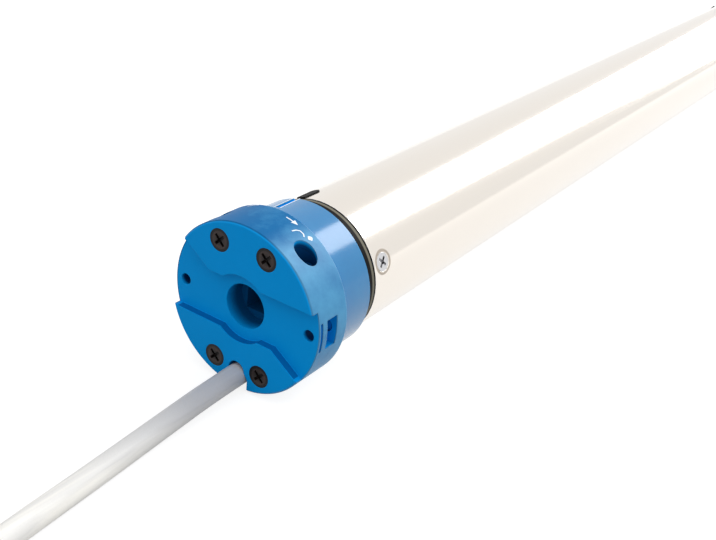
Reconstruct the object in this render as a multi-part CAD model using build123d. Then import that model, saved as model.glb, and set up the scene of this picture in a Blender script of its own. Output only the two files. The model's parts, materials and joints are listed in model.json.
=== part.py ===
from build123d import *
from math import acos, cos, pi, radians, sin, sqrt, tan
import os

# Tubular roller blind motor, in millimetres.
# The origin is the middle of the bracket socket's mouth, on the floor of the channel across
# the head's face. +X runs along the motor to its drive wheel and +Z is up.
# Angles round the motor are measured from +Z towards -Y, the side with the tube screw.

# Fits that the whole motor shares
overrun = 2.0
running_gap = 0.05
seat_gap = 0.05
turning_gap = 0.3
edge_break = 0.4

# Motor tube
tube_radius = 22.5
tube_wall = 1.0
tube_length = 449.65

# Head cover: a moulded cup with a raised face and a channel across it
head_step = 2.8
head_depth = 13.35
land_height = 2.65
cover_floor = 2.5
cover_wall = 2.2
face_chamfer = 0.6
channel_half = 8.4
bulge_radius = 10.8
flank_start = 12.0
flank_angle = 34
socket_radius = 7.05
socket_round_depth = 7.0
socket_square = 10.0
socket_depth = 20.0

# Bracket screw holes in the channel's floor, each over a nut pocket in the head's side
bracket_hole_inset = 3.7
bracket_hole_radius = 1.8
bracket_hole_depth = 9.5
nut_block_width = 7.8
nut_block_half = 6.3
nut_block_depth = 11.5
nut_pocket_start = 3.65
nut_pocket_width = 4.7
nut_pocket_half = 4.7
nut_pocket_depth = 6.5
nut_slit_start = 0.65
nut_slit_width = 1.0
nut_slit_depth = 1.2

# Face screws
face_screw_inset = 5.76
face_screw_angle = 23.8
face_screw_head = 3.6
face_screw_head_depth = 2.2
face_screw_shank = 1.5
face_screw_length = 13.5
screw_recess_width = 0.9
screw_recess_span_share = 1.2
screw_recess_depth = 1.3

# Cable notch at the foot of the face
notch_apex_inset = 9.1
notch_apex_radius = 2.9
notch_half = 4.3

# Adjusting screws for the two limits
adjuster_x = 5.45
adjuster_inset = 11.05
adjuster_hole_radius = 3.45
adjuster_head_radius = 2.8
adjuster_sunk = 4.38
adjuster_head_length = 4.0
adjuster_shank_radius = 1.8
adjuster_foot = 5.5
adjuster_hex = 3.0
adjuster_hex_depth = 2.2

# Crown: the ring that turns with the shade tube and drives the limit gear
crown_step = 1.5
crown_length = 15.75
crown_chamfer = 0.5
crown_wall = 3.6
crown_journal_length = 8.0
crown_teeth = 48
crown_groove_angle = -14
crown_groove_width = 2.0
crown_groove_depth = 0.9
crown_groove_length = 9.5

# Gear teeth
tooth_head_share = 0.9
tooth_foot_share = 1.2
tooth_backlash = 0.12
pressure_angle = 20

# Frame in the head, behind the cover
frame_edge_gap = 0.1
frame_disc_length = 10.7
core_reach = 11.65
core_bore_wall = 1.4
core_bore_depth = 13.0

# Collar at the tube's mouth, with the key in the tube's slot
collar_inset = 0.1
collar_neck_step = 1.0
collar_neck_length = 0.95
collar_rim_length = 3.7
collar_wall = 4.0
spigot_length = 23.65
key_width = 3.2
key_length = 8.5
key_proud = 0.3
key_angle = -21

# Screws through the tube
tube_screw_angle = 69
tube_screw_inset = 4.8
tube_screw_head = 3.2
tube_screw_head_depth = 1.7
tube_screw_shank = 1.5
tube_screw_sunk = 0.2
tube_screw_count = 2

# Limit unit: threaded spindle, two nuts and two microswitches in a carrier
limit_pinion_teeth = 12
pinion_pocket_gap = 0.3
spindle_radius = 2.0
spindle_nose = 7.25
carrier_length = 72.0
carrier_wall = 2.0
carrier_end_wall = 3.0
deck_thickness = 2.0
carrier_gap = 0.15
nut_length = 8.0
nut_left = 4.5
nut_right = 9.5
nut_drop = 5.8
nut_rise = 3.8
nut_travel = 22.0
guide_rod_radius = 1.25
guide_rod_y = 7.0
guide_rod_drop = 3.4
switch_length = 19.8
switch_width = 6.4
switch_height = 6.5
switch_button_radius = 0.9
switch_button_height = 1.0
switch_button_gap = 0.6
switch_hole_radius = 1.1
switch_hole_spacing = 9.5
switch_lag = 5.0
terminal_inset = 12.0
terminal_length = 20.0
terminal_half = 7.0
terminal_floor_gap = 1.5
terminal_screw_radius = 1.6

# Cable and its cores
cable_radius = 3.5
cable_inset = 4.3
jacket_reach = 1.0
head_core_radius = 0.85
head_core_pitch = 2.1
head_core_inset = 4.5
head_core_lead = 1.8
head_core_bend = 1.7
wire_channel_half = 2.5
wire_channel_margin = 1.2
clamp_front_gap = 1.4
clamp_thickness = 2.5
clamp_half = 6.2
clamp_top_inset = 13.2
clamp_bottom_inset = 2.8
clamp_screw_y = 4.4
clamp_screw_inset = 10.5
clamp_screw_radius = 1.0
clamp_screw_head = 1.7
clamp_screw_head_length = 1.2
clamp_screw_reach = 4.0

# Cable outside the head, between the clamp and its hank
cable_route = [
    (-12, 0, -22.6),
    (-34, -0.9, -23.3),
    (-62, -2.9, -23.3),
    (-104, -6.2, -22.2),
    (-148, -23.5, -22.0),
    (-168, -23.5, -22.0),
]
route_radius_share = 0.45

# Hank of the put-away length: two layers of long loops that spiral in and out
coil_start_radius = 33.5
coil_run = 184.0
coil_turn_pitch = 7.5
coil_layer_pitch = 7.5
coil_layers = 2
coil_layer_turns = 1.5
coil_tangent_steps = 20
tie_gap = 0.2
tie_thickness = 1.1
tie_width = 4.8
tie_corner = 2.5
tie_head = 5.5

# Bare cores at the far end
tail_core_radius = 0.9
tail_core_pitch = 2.4
tail_core_length = 40.0
tail_core_straight = 12.0
tail_core_spread = 1.0
tail_core_level_spread = 0.8
ferrule_collar_radius = 1.5
ferrule_collar_length = 5.0
ferrule_pin_radius = 0.9
ferrule_pin_length = 7.0

# Capacitor
cradle_wall = 5.3
capacitor_length = 66.0
capacitor_edge = 2.0
cradle_gap = 4.0
cradle_overhang = 2.0
cradle_ring_length = 8.0
cradle_bar_width = 8.0
cradle_bar_count = 3
terminal_tab_width = 6.3
terminal_tab_thickness = 0.8
terminal_tab_length = 5.5
terminal_tab_spacing = 10.0

# Motor
motor_gap = 4.0
shield_thickness = 6.0
shield_rim_wall = 1.8
shield_rim_length = 12.0
shield_boss_radius = 10.0
shield_boss_length = 5.0
shield_window_radius = 2.4
shield_window_count = 6
bearing_radius = 7.0
bearing_length = 8.0
shaft_radius = 4.0
stator_bore = 11.0
stator_slots = 12
slot_inner = 12.4
stator_yoke = 3.3
slot_opening = 1.6
slot_tooth_width = 2.6
winding_gap = 0.3
winding_overhang = 10.5
winding_inner = 12.8
air_gap = 0.35
rotor_end_ring = 6.0
rotor_end_ring_step = 1.0
rotor_hub_radius = 6.5

# Brake
brake_housing_length = 36.0
brake_housing_wall = 2.3
brake_end_wall = 4.0
brake_shaft_hole = 5.0
brake_front_gap = 9.0
brake_disc_inset = 2.5
brake_disc_thickness = 4.0
brake_hub_radius = 7.0
brake_hub_length = 7.0
armature_gap = 1.55
armature_bore = 8.0
armature_thickness = 3.5
brake_travel = 0.3
spring_radius = 12.0
spring_wall = 1.8

# Planetary gearbox: three stages in one long ring gear
gearbox_plate_thickness = 5.0
sun_teeth = 12
planet_teeth = 15
ring_teeth = 42
planet_count = 3
ring_outer_gap = 0.15
ring_wall = 3.59
stage_planet_lengths = [13.0, 15.0, 19.0]
stage_front_gap = 5.5
carrier_plate_thicknesses = [5.0, 6.0, 7.0]
carrier_plate_gap = 0.38
planet_pin_radius = 2.0
sun_wall = 1.0
stage_gap = 8.0

# Output end
end_cap_length = 14.0
end_cap_flange = 3.0
output_bearing_radius = 9.0
output_journal_radius = 6.0
drive_flat_half = 4.7
drive_wheel_start_gap = 2.0
drive_wheel_length = 28.0
drive_wheel_rim = 2.6
drive_wheel_hub = 9.5
drive_wheel_web = 4.0
drive_wheel_spokes = 6
drive_wheel_notch = 2.0
drive_wheel_notches = 4
output_tail = 6.0
clip_thickness = 1.0
clip_groove_radius = 5.0
clip_radius = 7.8
clip_opening = 7.0

# Radii that follow from the tube
tube_bore = tube_radius - tube_wall
crown_radius = tube_radius + crown_step
head_radius = crown_radius + head_step
inner_fit = tube_bore - carrier_gap
crown_journal_radius = crown_radius - crown_wall
core_radius = tube_bore - collar_wall
collar_radius = tube_radius - collar_inset
collar_neck_radius = collar_radius - collar_neck_step
capacitor_radius = inner_fit - cradle_wall - seat_gap
slot_outer = tube_bore - stator_yoke
shield_window_circle = (shield_boss_radius + inner_fit - shield_rim_wall) / 2
armature_radius = inner_fit - brake_housing_wall - armature_gap
brake_disc_radius = armature_radius - brake_disc_inset

# Gear sizes that follow from the ring gear, which fills the tube
ring_foot_radius = tube_bore - ring_outer_gap - ring_wall
gear_module = ring_foot_radius / (ring_teeth / 2 + tooth_foot_share)
pitch_radius_unit = gear_module / 2
planet_centre = pitch_radius_unit * (sun_teeth + planet_teeth)
carrier_plate_radius = gear_module * (ring_teeth / 2 - tooth_head_share) - carrier_plate_gap
crown_pitch_radius = pitch_radius_unit * crown_teeth
limit_centre = crown_pitch_radius - pitch_radius_unit * limit_pinion_teeth

# Places across the head and the limit unit
cable_height = cable_inset - head_radius
notch_apex = head_radius - notch_apex_inset
bracket_hole_offset = head_radius - bracket_hole_inset
nut_block_inner = head_radius - nut_block_width
nut_pocket_inner = head_radius - nut_pocket_depth
adjuster_y = head_radius - adjuster_inset
adjuster_head_top = sqrt(head_radius ** 2 - adjuster_y ** 2) - adjuster_sunk
clamp_top = head_radius - clamp_top_inset
clamp_bottom = head_radius - clamp_bottom_inset
clamp_screw_z = head_radius - clamp_screw_inset
head_core_rise = core_radius - head_core_inset
core_bore = limit_centre - spindle_radius - core_bore_wall
nut_bottom = limit_centre - nut_drop
nut_top = limit_centre + nut_rise
guide_rod_z = limit_centre - guide_rod_drop
deck_top = nut_bottom - switch_button_gap - switch_button_height - switch_height
terminal_foot = sqrt((inner_fit - carrier_wall) ** 2 - terminal_half ** 2) - terminal_floor_gap

# Places along the motor, from the head to the motor's front
clamp_front = cover_floor + clamp_front_gap
jacket_end = clamp_front + clamp_thickness + jacket_reach
head_core_first_turn = jacket_end + head_core_lead
frame_disc_end = cover_floor + frame_disc_length
crown_front = head_depth + turning_gap
crown_end = crown_front + crown_length
pinion_start = crown_front + crown_journal_length + 2 * turning_gap
pinion_end = crown_end - turning_gap
spindle_front = pinion_start - spindle_nose
collar_front = crown_end + turning_gap
tube_front = collar_front + collar_neck_length + collar_rim_length
core_end = tube_front + core_reach
core_bore_start = core_end - core_bore_depth
spigot_end = tube_front + spigot_length
carrier_end = spigot_end + carrier_length
terminal_start = spigot_end + terminal_inset
cradle_start = carrier_end + cradle_gap
cradle_end = cradle_start + 2 * cradle_overhang + capacitor_length
motor_front = cradle_end + motor_gap

# Places along the motor, from the tube's end back to the stator, which fills what is left
tube_end = tube_front + tube_length
ring_end = tube_end - end_cap_length
gearbox_length = (stage_front_gap + sum(stage_planet_lengths) + sum(carrier_plate_thicknesses)
                  + (len(stage_planet_lengths) - 1) * stage_gap + 2 * turning_gap)
ring_start = ring_end - gearbox_length
brake_end = ring_start - gearbox_plate_thickness
brake_start = brake_end - brake_housing_length
brake_disc_start = brake_start + brake_front_gap
stack_start = motor_front + shield_thickness + shield_rim_length
stack_end = brake_start - shield_thickness - shield_rim_length


# Helpers: everything is drawn across the motor and drawn out along it
def station(x):
    return Plane(origin=(x, 0, 0), x_dir=(0, 1, 0), z_dir=(1, 0, 0))


def prism(profile, start, end):
    return extrude(station(start) * profile, amount=end - start)


def disc(radius, start, end):
    return prism(Circle(radius), start, end)


def sleeve(outer, inner, start, end):
    return prism(Circle(outer) - Circle(inner), start, end)


def spot(point, shape):
    return Pos(point.X, point.Y) * shape


def block(x0, x1, y0, y1, z0, z1):
    middle = ((x0 + x1) / 2, (y0 + y1) / 2, (z0 + z1) / 2)
    return Pos(*middle) * Box(x1 - x0, y1 - y0, z1 - z0)


def joined(shapes):
    result = shapes[0]
    for shape in shapes[1:]:
        result = result + shape
    return result


def without(body, cuts):
    for cut in cuts:
        body = body - cut
    return body


def cross_recess(head_radius_here):
    """Outline of a cross recess in a screw's head."""
    span = head_radius_here * screw_recess_span_share
    return Rectangle(span, screw_recess_width) + Rectangle(screw_recess_width, span)


# Gear outlines
def involute(angle):
    return tan(angle) - angle


def tooth_half_angle(teeth, radius, backlash):
    """Half of a tooth's angle at a radius, on true involute flanks."""
    pitch = pitch_radius_unit * teeth
    base = pitch * cos(radians(pressure_angle))
    at_pitch = pi / (2 * teeth) - backlash / (2 * pitch)
    here = acos(min(1, base / max(radius, base)))
    return at_pitch + involute(radians(pressure_angle)) - involute(here)


def gear_outline(teeth, head, foot, backlash):
    """Closed outline with a tooth centred on the first axis."""
    pitch = pitch_radius_unit * teeth
    levels = [pitch - foot, pitch, pitch + head]
    halves = [tooth_half_angle(teeth, level, backlash) for level in levels]
    points = []
    for tooth in range(teeth):
        centre = 2 * pi * tooth / teeth
        rising = [(level, centre - half) for level, half in zip(levels, halves)]
        falling = [(level, centre + half) for level, half in zip(levels, halves)]
        for level, angle in rising + falling[::-1]:
            points.append((level * cos(angle), level * sin(angle)))
    return make_face(Polyline(*points, close=True))


def outer_teeth(teeth):
    head = gear_module * tooth_head_share
    foot = gear_module * tooth_foot_share
    return gear_outline(teeth, head, foot, tooth_backlash)


def inner_teeth(teeth):
    """The hollow of a gear with inner teeth, with a tooth space on the first axis."""
    head = gear_module * tooth_foot_share
    foot = gear_module * tooth_head_share
    return gear_outline(teeth, head, foot, -tooth_backlash)


# Head cover
def channel_outline():
    """The channel across the face: a strip, a round bulge and two sloping flanks."""
    reach = head_radius + overrun
    rise = (reach - flank_start) * tan(radians(flank_angle))
    flank = make_face(Polyline(
        (flank_start, channel_half),
        (reach, channel_half),
        (reach, channel_half + rise),
        close=True,
    ))
    strip = Rectangle(2 * reach, 2 * channel_half)
    return strip + Circle(bulge_radius) + flank + Rot(0, 0, 180) * flank


def notch_outline():
    """The cable notch: a rounded apex that flares to straight sides."""
    foot = head_radius + overrun
    flare = make_face(Polyline(
        (-notch_apex_radius, -notch_apex - notch_apex_radius),
        (notch_apex_radius, -notch_apex - notch_apex_radius),
        (notch_half, cable_height),
        (notch_half, -foot),
        (-notch_half, -foot),
        (-notch_half, cable_height),
        close=True,
    ))
    return flare + Pos(0, -notch_apex - notch_apex_radius) * Circle(notch_apex_radius)


def face_screw_places():
    circle = head_radius - face_screw_inset
    turn = radians(face_screw_angle)
    sides = (1, -1)
    return [Vector(a * circle * sin(turn), b * circle * cos(turn)) for a in sides for b in sides]


def nut_block_outline(margin):
    """The two blocks that hold the bracket screws and their nuts."""
    reach = head_radius - cover_wall + frame_edge_gap
    width = reach - nut_block_inner + margin
    middle = nut_block_inner - margin + width / 2
    one = Rectangle(width, 2 * (nut_block_half + margin))
    return Pos(middle, 0) * one + Pos(-middle, 0) * one


def head_cover():
    shell = disc(head_radius, -land_height, head_depth)
    rims = shell.edges().filter_by(GeomType.CIRCLE).sort_by(Axis.X)
    shell = chamfer(rims[0], face_chamfer)
    rims = shell.edges().filter_by(GeomType.CIRCLE).sort_by(Axis.X)
    shell = chamfer(rims[-1], edge_break)
    shell -= prism(channel_outline(), -land_height - overrun, 0)
    inner = head_radius - cover_wall
    shell -= disc(inner, cover_floor, head_depth + overrun)
    hollow = Circle(inner) - offset(channel_outline(), cover_wall)
    hollow -= offset(notch_outline(), cover_wall)
    for place in face_screw_places():
        hollow -= spot(place, Circle(face_screw_head + cover_wall / 2))
    shell -= prism(hollow, -land_height + cover_wall, cover_floor + overrun)
    shell += prism(nut_block_outline(0) & Circle(head_radius - cover_wall / 2), cover_floor,
                   nut_block_depth)
    cuts = [disc(socket_radius, -overrun, cover_floor + overrun)]
    cuts.append(prism(notch_outline(), -land_height - overrun, jacket_end + turning_gap))
    for place in face_screw_places():
        hole = spot(place, Circle(face_screw_shank + seat_gap))
        cuts.append(prism(hole, -land_height - overrun, cover_floor + overrun))
        cuts.append(face_screw_seat(place, seat_gap))
    for side in (1, -1):
        cuts += bracket_cuts(side)
        cuts.append(adjuster_hole(side))
    return without(shell, cuts)


def bracket_cuts(side):
    """Pilot hole, nut pocket and slit of one bracket screw."""
    place = Vector(side * bracket_hole_offset, 0)
    hole = prism(spot(place, Circle(bracket_hole_radius)), -overrun, bracket_hole_depth)
    far = head_radius + overrun
    pocket_end = nut_pocket_start + nut_pocket_width
    pocket_low, pocket_high = sorted((side * nut_pocket_inner, side * far))
    pocket = block(nut_pocket_start, pocket_end, pocket_low, pocket_high,
                   -nut_pocket_half, nut_pocket_half)
    slit_low, slit_high = sorted((side * (head_radius - nut_slit_depth), side * far))
    slit = block(nut_slit_start, nut_slit_start + nut_slit_width, slit_low, slit_high,
                 -nut_pocket_half, nut_pocket_half)
    return [hole, pocket, slit]


def adjuster_hole(side):
    hole = Cylinder(adjuster_hole_radius, head_radius, align=(Align.CENTER, Align.CENTER, Align.MIN))
    bottom = adjuster_head_top - adjuster_head_length - turning_gap
    return Pos(adjuster_x, side * adjuster_y, bottom) * hole


def face_screw_seat(place, gap):
    """Cone under a face screw's head."""
    start = -land_height - gap
    end = -land_height + face_screw_head_depth
    top = station(start) * spot(place, Circle(face_screw_head + gap))
    foot = station(end) * spot(place, Circle(face_screw_shank + gap))
    return loft([top, foot])


def face_screw(place):
    start = -land_height + seat_gap
    top = station(start) * spot(place, Circle(face_screw_head - seat_gap))
    foot = station(-land_height + face_screw_head_depth) * spot(place, Circle(face_screw_shank))
    shank = prism(spot(place, Circle(face_screw_shank)), start, -land_height + face_screw_length)
    recess = spot(place, Rot(0, 0, 45) * cross_recess(face_screw_head))
    return loft([top, foot]) + shank - prism(recess, start - overrun, start + screw_recess_depth)


def face_screws():
    return Compound(children=[face_screw(place) for place in face_screw_places()])


# Limit adjusters
def limit_adjuster(side):
    down = (Align.CENTER, Align.CENTER, Align.MAX)
    head = Cylinder(adjuster_head_radius, adjuster_head_length, align=down)
    head = chamfer(head.edges().group_by(Axis.Z)[-1], edge_break)
    shank = Cylinder(adjuster_shank_radius, adjuster_head_top - adjuster_foot, align=down)
    hex_key = extrude(RegularPolygon(adjuster_hex / 2, 6, major_radius=False),
                      amount=-adjuster_hex_depth)
    return Pos(adjuster_x, side * adjuster_y, adjuster_head_top) * (head + shank - hex_key)


def adjuster_seat(side):
    """Room for one adjusting screw in the head's frame."""
    up = (Align.CENTER, Align.CENTER, Align.MIN)
    shank_bottom = adjuster_foot - turning_gap
    head_bottom = adjuster_head_top - adjuster_head_length - turning_gap
    shank = Cylinder(adjuster_shank_radius + running_gap, head_radius, align=up)
    head = Cylinder(adjuster_hole_radius, head_radius, align=up)
    return (Pos(adjuster_x, side * adjuster_y, shank_bottom) * shank
            + Pos(adjuster_x, side * adjuster_y, head_bottom) * head)


# Head frame: disc, crown journal, core with the bracket socket
def wire_channel(start, end):
    """Passage for the cores, low in the frame."""
    low = -head_core_rise - head_core_pitch / 2 - head_core_radius - wire_channel_margin
    high = -head_core_rise + head_core_pitch / 2 + head_core_radius + wire_channel_margin
    return block(start, end, -wire_channel_half, wire_channel_half, low, high)


def head_frame():
    disc_radius = head_radius - cover_wall - frame_edge_gap
    journal_end = crown_front + crown_journal_length
    body = disc(disc_radius, cover_floor, frame_disc_end)
    body += disc(crown_journal_radius, frame_disc_end, journal_end)
    body += disc(core_radius, journal_end, core_end)
    cuts = [
        disc(socket_radius, cover_floor - overrun, socket_round_depth),
        prism(Rectangle(socket_square, socket_square), socket_round_depth - overrun, socket_depth),
        disc(core_bore, core_bore_start, core_end + overrun),
        prism(nut_block_outline(frame_edge_gap), cover_floor - overrun,
              nut_block_depth + frame_edge_gap),
        pinion_pocket(),
        prism(Pos(0, limit_centre) * Circle(spindle_radius + running_gap),
              spindle_front - turning_gap, core_end + overrun),
        wire_channel(jacket_end, core_end + overrun),
        head_wire_pocket(),
        cable_slot(),
        clamp_recess(),
    ]
    for place in face_screw_places():
        hole = spot(place, Circle(face_screw_shank + seat_gap))
        cuts.append(prism(hole, cover_floor - overrun, face_screw_length))
    for place in clamp_screw_places():
        hole = spot(place, Circle(clamp_screw_radius + seat_gap))
        cuts.append(prism(hole, clamp_front, clamp_front + clamp_thickness + clamp_screw_reach
                          + seat_gap))
    cuts += [adjuster_seat(side) for side in (1, -1)]
    return without(body, cuts)


def pinion_pocket():
    tip = pitch_radius_unit * limit_pinion_teeth + gear_module
    pocket = Pos(0, limit_centre) * Circle(tip + pinion_pocket_gap)
    return prism(pocket, pinion_start - turning_gap, pinion_end + turning_gap)


def head_wire_pocket():
    """Room for the cores to climb from the cable to the passage."""
    low = cable_height - head_core_pitch / 2 - head_core_radius - wire_channel_margin
    top = -head_core_rise
    last_turn = head_core_first_turn + head_core_pitch
    end = last_turn + head_core_radius + turning_gap
    return block(jacket_end, end, -wire_channel_half, wire_channel_half, low, top)


def cable_slot():
    half = cable_radius + seat_gap
    slot = Pos(0, cable_height) * Circle(half)
    foot = Pos(0, cable_height - head_radius / 2) * Rectangle(2 * half, head_radius)
    return prism(slot + foot, cover_floor - overrun, jacket_end + seat_gap)


def clamp_recess():
    recess = Pos(0, -(clamp_top + head_radius) / 2) * Rectangle(
        2 * (clamp_half + seat_gap), head_radius - clamp_top + 2 * seat_gap)
    return prism(recess, cover_floor - overrun, clamp_front + clamp_thickness)


# Crown
def crown():
    bearing = crown_journal_radius + running_gap
    bearing_end = crown_front + crown_journal_length + turning_gap
    ring = disc(crown_radius, crown_front, crown_end)
    ring = chamfer(ring.edges().filter_by(GeomType.CIRCLE), crown_chamfer)
    ring -= disc(bearing, crown_front - overrun, bearing_end)
    ring -= prism(inner_teeth(crown_teeth), bearing_end - overrun, crown_end + overrun)
    groove_middle = Rot(0, 0, crown_groove_angle) * Pos(0, crown_radius)
    groove = groove_middle * Rectangle(crown_groove_width, 2 * crown_groove_depth)
    return ring - prism(groove, crown_end - crown_groove_length, crown_end + overrun)


# Collar at the tube's mouth
def tube_collar():
    spigot = tube_bore - seat_gap
    body = disc(collar_neck_radius, collar_front, collar_front + collar_neck_length)
    rim = disc(collar_radius, collar_front + collar_neck_length, tube_front)
    rim = chamfer(rim.edges().filter_by(GeomType.CIRCLE), edge_break)
    body = body + rim + disc(spigot, tube_front, spigot_end) + tube_key()
    body -= disc(core_radius + seat_gap, collar_front - overrun, spigot_end + overrun)
    screw_x = tube_front + tube_screw_inset
    return without(body, [tube_screw_hole(screw_x, turn) for turn in tube_screw_turns()])


def tube_key():
    """Key with a rounded end, a little proud of the tube."""
    half = key_width / 2
    outline = Rectangle(key_length - half, key_width, align=(Align.MIN, Align.CENTER))
    outline += Pos(key_length - half, 0) * Circle(half)
    base = core_radius + tube_wall
    key = extrude(Pos(tube_front, 0, base) * outline, amount=tube_radius + key_proud - base)
    return Rot(key_angle, 0, 0) * key


def key_slot():
    """The slot in the tube's end that the key fills."""
    half = key_width / 2 + seat_gap
    outline = Rectangle(key_length - half + overrun, 2 * half, align=(Align.MIN, Align.CENTER))
    outline = Pos(-overrun, 0) * outline + Pos(key_length + seat_gap - half, 0) * Circle(half)
    slot = extrude(Pos(tube_front, 0, core_radius) * outline, amount=tube_radius)
    return Rot(key_angle, 0, 0) * slot


# Motor tube and its screws
def tube_screw_turns():
    return [tube_screw_angle + 360 * index / tube_screw_count for index in range(tube_screw_count)]


def radial(x, turn, shape):
    """Put a shape drawn along Z at a place on the tube."""
    return Pos(x, 0, 0) * Rot(turn, 0, 0) * shape


def tube_screw_hole(x, turn):
    top = tube_radius
    foot = top - tube_screw_head_depth - seat_gap
    sink = loft([
        Plane.XY.offset(top + tube_screw_sunk) * Circle(tube_screw_head + tube_screw_sunk),
        Plane.XY.offset(foot) * Circle(tube_screw_shank + seat_gap),
    ])
    shank = Pos(0, 0, core_radius - overrun) * Cylinder(
        tube_screw_shank + seat_gap, foot - core_radius + 2 * overrun,
        align=(Align.CENTER, Align.CENTER, Align.MIN))
    return radial(x, turn, sink + shank)


def tube_screw(x, turn):
    top = tube_radius - tube_screw_sunk
    foot = tube_radius - tube_screw_head_depth
    head = loft([
        Plane.XY.offset(top) * Circle(tube_screw_head - tube_screw_sunk - seat_gap),
        Plane.XY.offset(foot) * Circle(tube_screw_shank),
    ])
    tip = core_radius + 2 * seat_gap
    shank = Pos(0, 0, tip) * Cylinder(tube_screw_shank, foot - tip + seat_gap,
                                      align=(Align.CENTER, Align.CENTER, Align.MIN))
    recess = extrude(Plane.XY.offset(top - screw_recess_depth) * Rot(0, 0, 45)
                     * cross_recess(tube_screw_head), amount=2 * screw_recess_depth)
    return radial(x, turn, head + shank - recess)


def tube_screws():
    x = tube_front + tube_screw_inset
    return Compound(children=[tube_screw(x, turn) for turn in tube_screw_turns()])


def end_cap_screw_x():
    return tube_end - end_cap_length / 2


def end_cap_screws():
    return Compound(children=[tube_screw(end_cap_screw_x(), turn) for turn in tube_screw_turns()])


def motor_tube():
    body = sleeve(tube_radius, tube_bore, tube_front, tube_end)
    cuts = [key_slot()]
    for x in (tube_front + tube_screw_inset, end_cap_screw_x()):
        cuts += [tube_screw_hole(x, turn) for turn in tube_screw_turns()]
    return without(body, cuts)


# Limit unit
def limit_spindle():
    pinion = Pos(0, limit_centre) * Rot(0, 0, 90) * outer_teeth(limit_pinion_teeth)
    shaft = Pos(0, limit_centre) * Circle(spindle_radius)
    return prism(pinion, pinion_start, pinion_end) + prism(shaft, spindle_front, carrier_end)


def switch_carrier():
    outer = inner_fit
    end_wall = Circle(outer)
    inside = carrier_end - carrier_end_wall
    body = prism(end_wall, spigot_end, spigot_end + carrier_end_wall)
    body += prism(end_wall, inside, carrier_end)
    cradle = sleeve(outer, outer - carrier_wall, spigot_end, carrier_end)
    deck = disc(outer, spigot_end, carrier_end) & block(
        spigot_end, carrier_end, -tube_radius, tube_radius, deck_top - deck_thickness, deck_top)
    lower_half = block(spigot_end, carrier_end, -tube_radius, tube_radius, -tube_radius, deck_top)
    body += (cradle & lower_half) + deck
    spindle_hole = Pos(0, limit_centre) * Circle(spindle_radius + running_gap)
    rod_hole = Pos(guide_rod_y, guide_rod_z) * Circle(guide_rod_radius + seat_gap)
    body -= prism(spindle_hole + rod_hole, spigot_end - overrun, carrier_end + overrun)
    return body - wire_channel(spigot_end - overrun, spigot_end + carrier_end_wall + overrun)


def guide_rod():
    return prism(Pos(guide_rod_y, guide_rod_z) * Circle(guide_rod_radius), spigot_end, carrier_end)


def limit_nut(start):
    width = nut_left + nut_right
    outline = Pos((nut_right - nut_left) / 2, (nut_bottom + nut_top) / 2) * Rectangle(
        width, nut_top - nut_bottom)
    outline -= Pos(0, limit_centre) * Circle(spindle_radius + running_gap)
    outline -= Pos(guide_rod_y, guide_rod_z) * Circle(guide_rod_radius + running_gap)
    body = prism(outline, start, start + nut_length)
    return chamfer(body.edges().filter_by(Axis.X).group_by(Axis.Z)[-1], edge_break)


def limit_nut_starts():
    first = spigot_end + carrier_end_wall + turning_gap
    second = carrier_end - carrier_end_wall - turning_gap - nut_length - nut_travel
    return first, second


def microswitch(start):
    low = deck_top
    high = deck_top + switch_height
    body = block(start, start + switch_length, -switch_width / 2, switch_width / 2, low, high)
    body = chamfer(body.edges().filter_by(Axis.Y), edge_break)
    middle = start + switch_length / 2
    button = Pos(middle, 0, high) * Cylinder(
        switch_button_radius, switch_button_height, align=(Align.CENTER, Align.CENTER, Align.MIN))
    body += button
    for side in (1, -1):
        x = middle + side * switch_hole_spacing / 2
        body -= Pos(x, 0, (low + high) / 2) * Rot(90, 0, 0) * Cylinder(
            switch_hole_radius, switch_width + overrun)
    return body


def terminal_block():
    top = deck_top - deck_thickness
    body = block(terminal_start, terminal_start + terminal_length, -terminal_half, terminal_half,
                 -terminal_foot, top)
    for x_share in (0.25, 0.75):
        for side in (1, -1):
            x = terminal_start + x_share * terminal_length
            well = Cylinder(terminal_screw_radius, terminal_half / 2,
                            align=(Align.CENTER, Align.CENTER, Align.MIN))
            place = Pos(x, side * terminal_half, (top - terminal_foot) / 2)
            body -= place * Rot(90 * side, 0, 0) * well
    return body


# Cable clamp and the cores in the head
def clamp_screw_places():
    return [Vector(side * clamp_screw_y, -clamp_screw_z) for side in (1, -1)]


def cable_clamp():
    """Horseshoe plate over the cable, in front of the frame."""
    height = clamp_bottom - clamp_top
    outline = Pos(0, -(clamp_bottom + clamp_top) / 2) * Rectangle(2 * clamp_half, height)
    outline &= Circle(head_radius - cover_wall - frame_edge_gap)
    half = cable_radius + seat_gap
    outline -= Pos(0, cable_height) * Circle(half)
    outline -= Pos(0, cable_height - head_radius / 2) * Rectangle(2 * half, head_radius)
    for place in clamp_screw_places():
        outline -= spot(place, Circle(clamp_screw_radius + seat_gap))
    for place in face_screw_places():
        outline -= spot(place, Circle(face_screw_shank + turning_gap))
    return prism(outline, clamp_front, clamp_front + clamp_thickness)


def clamp_screw(place):
    reach = clamp_front + clamp_thickness + clamp_screw_reach
    head = prism(spot(place, Circle(clamp_screw_head)), clamp_front - clamp_screw_head_length,
                 clamp_front)
    shank = prism(spot(place, Circle(clamp_screw_radius)), clamp_front, reach)
    slot = spot(place, Rectangle(2 * clamp_screw_head, screw_recess_width / 2))
    return head + shank - prism(slot, cover_floor - overrun,
                                clamp_front - clamp_screw_head_length / 2)


def clamp_screws():
    return Compound(children=[clamp_screw(place) for place in clamp_screw_places()])


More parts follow.
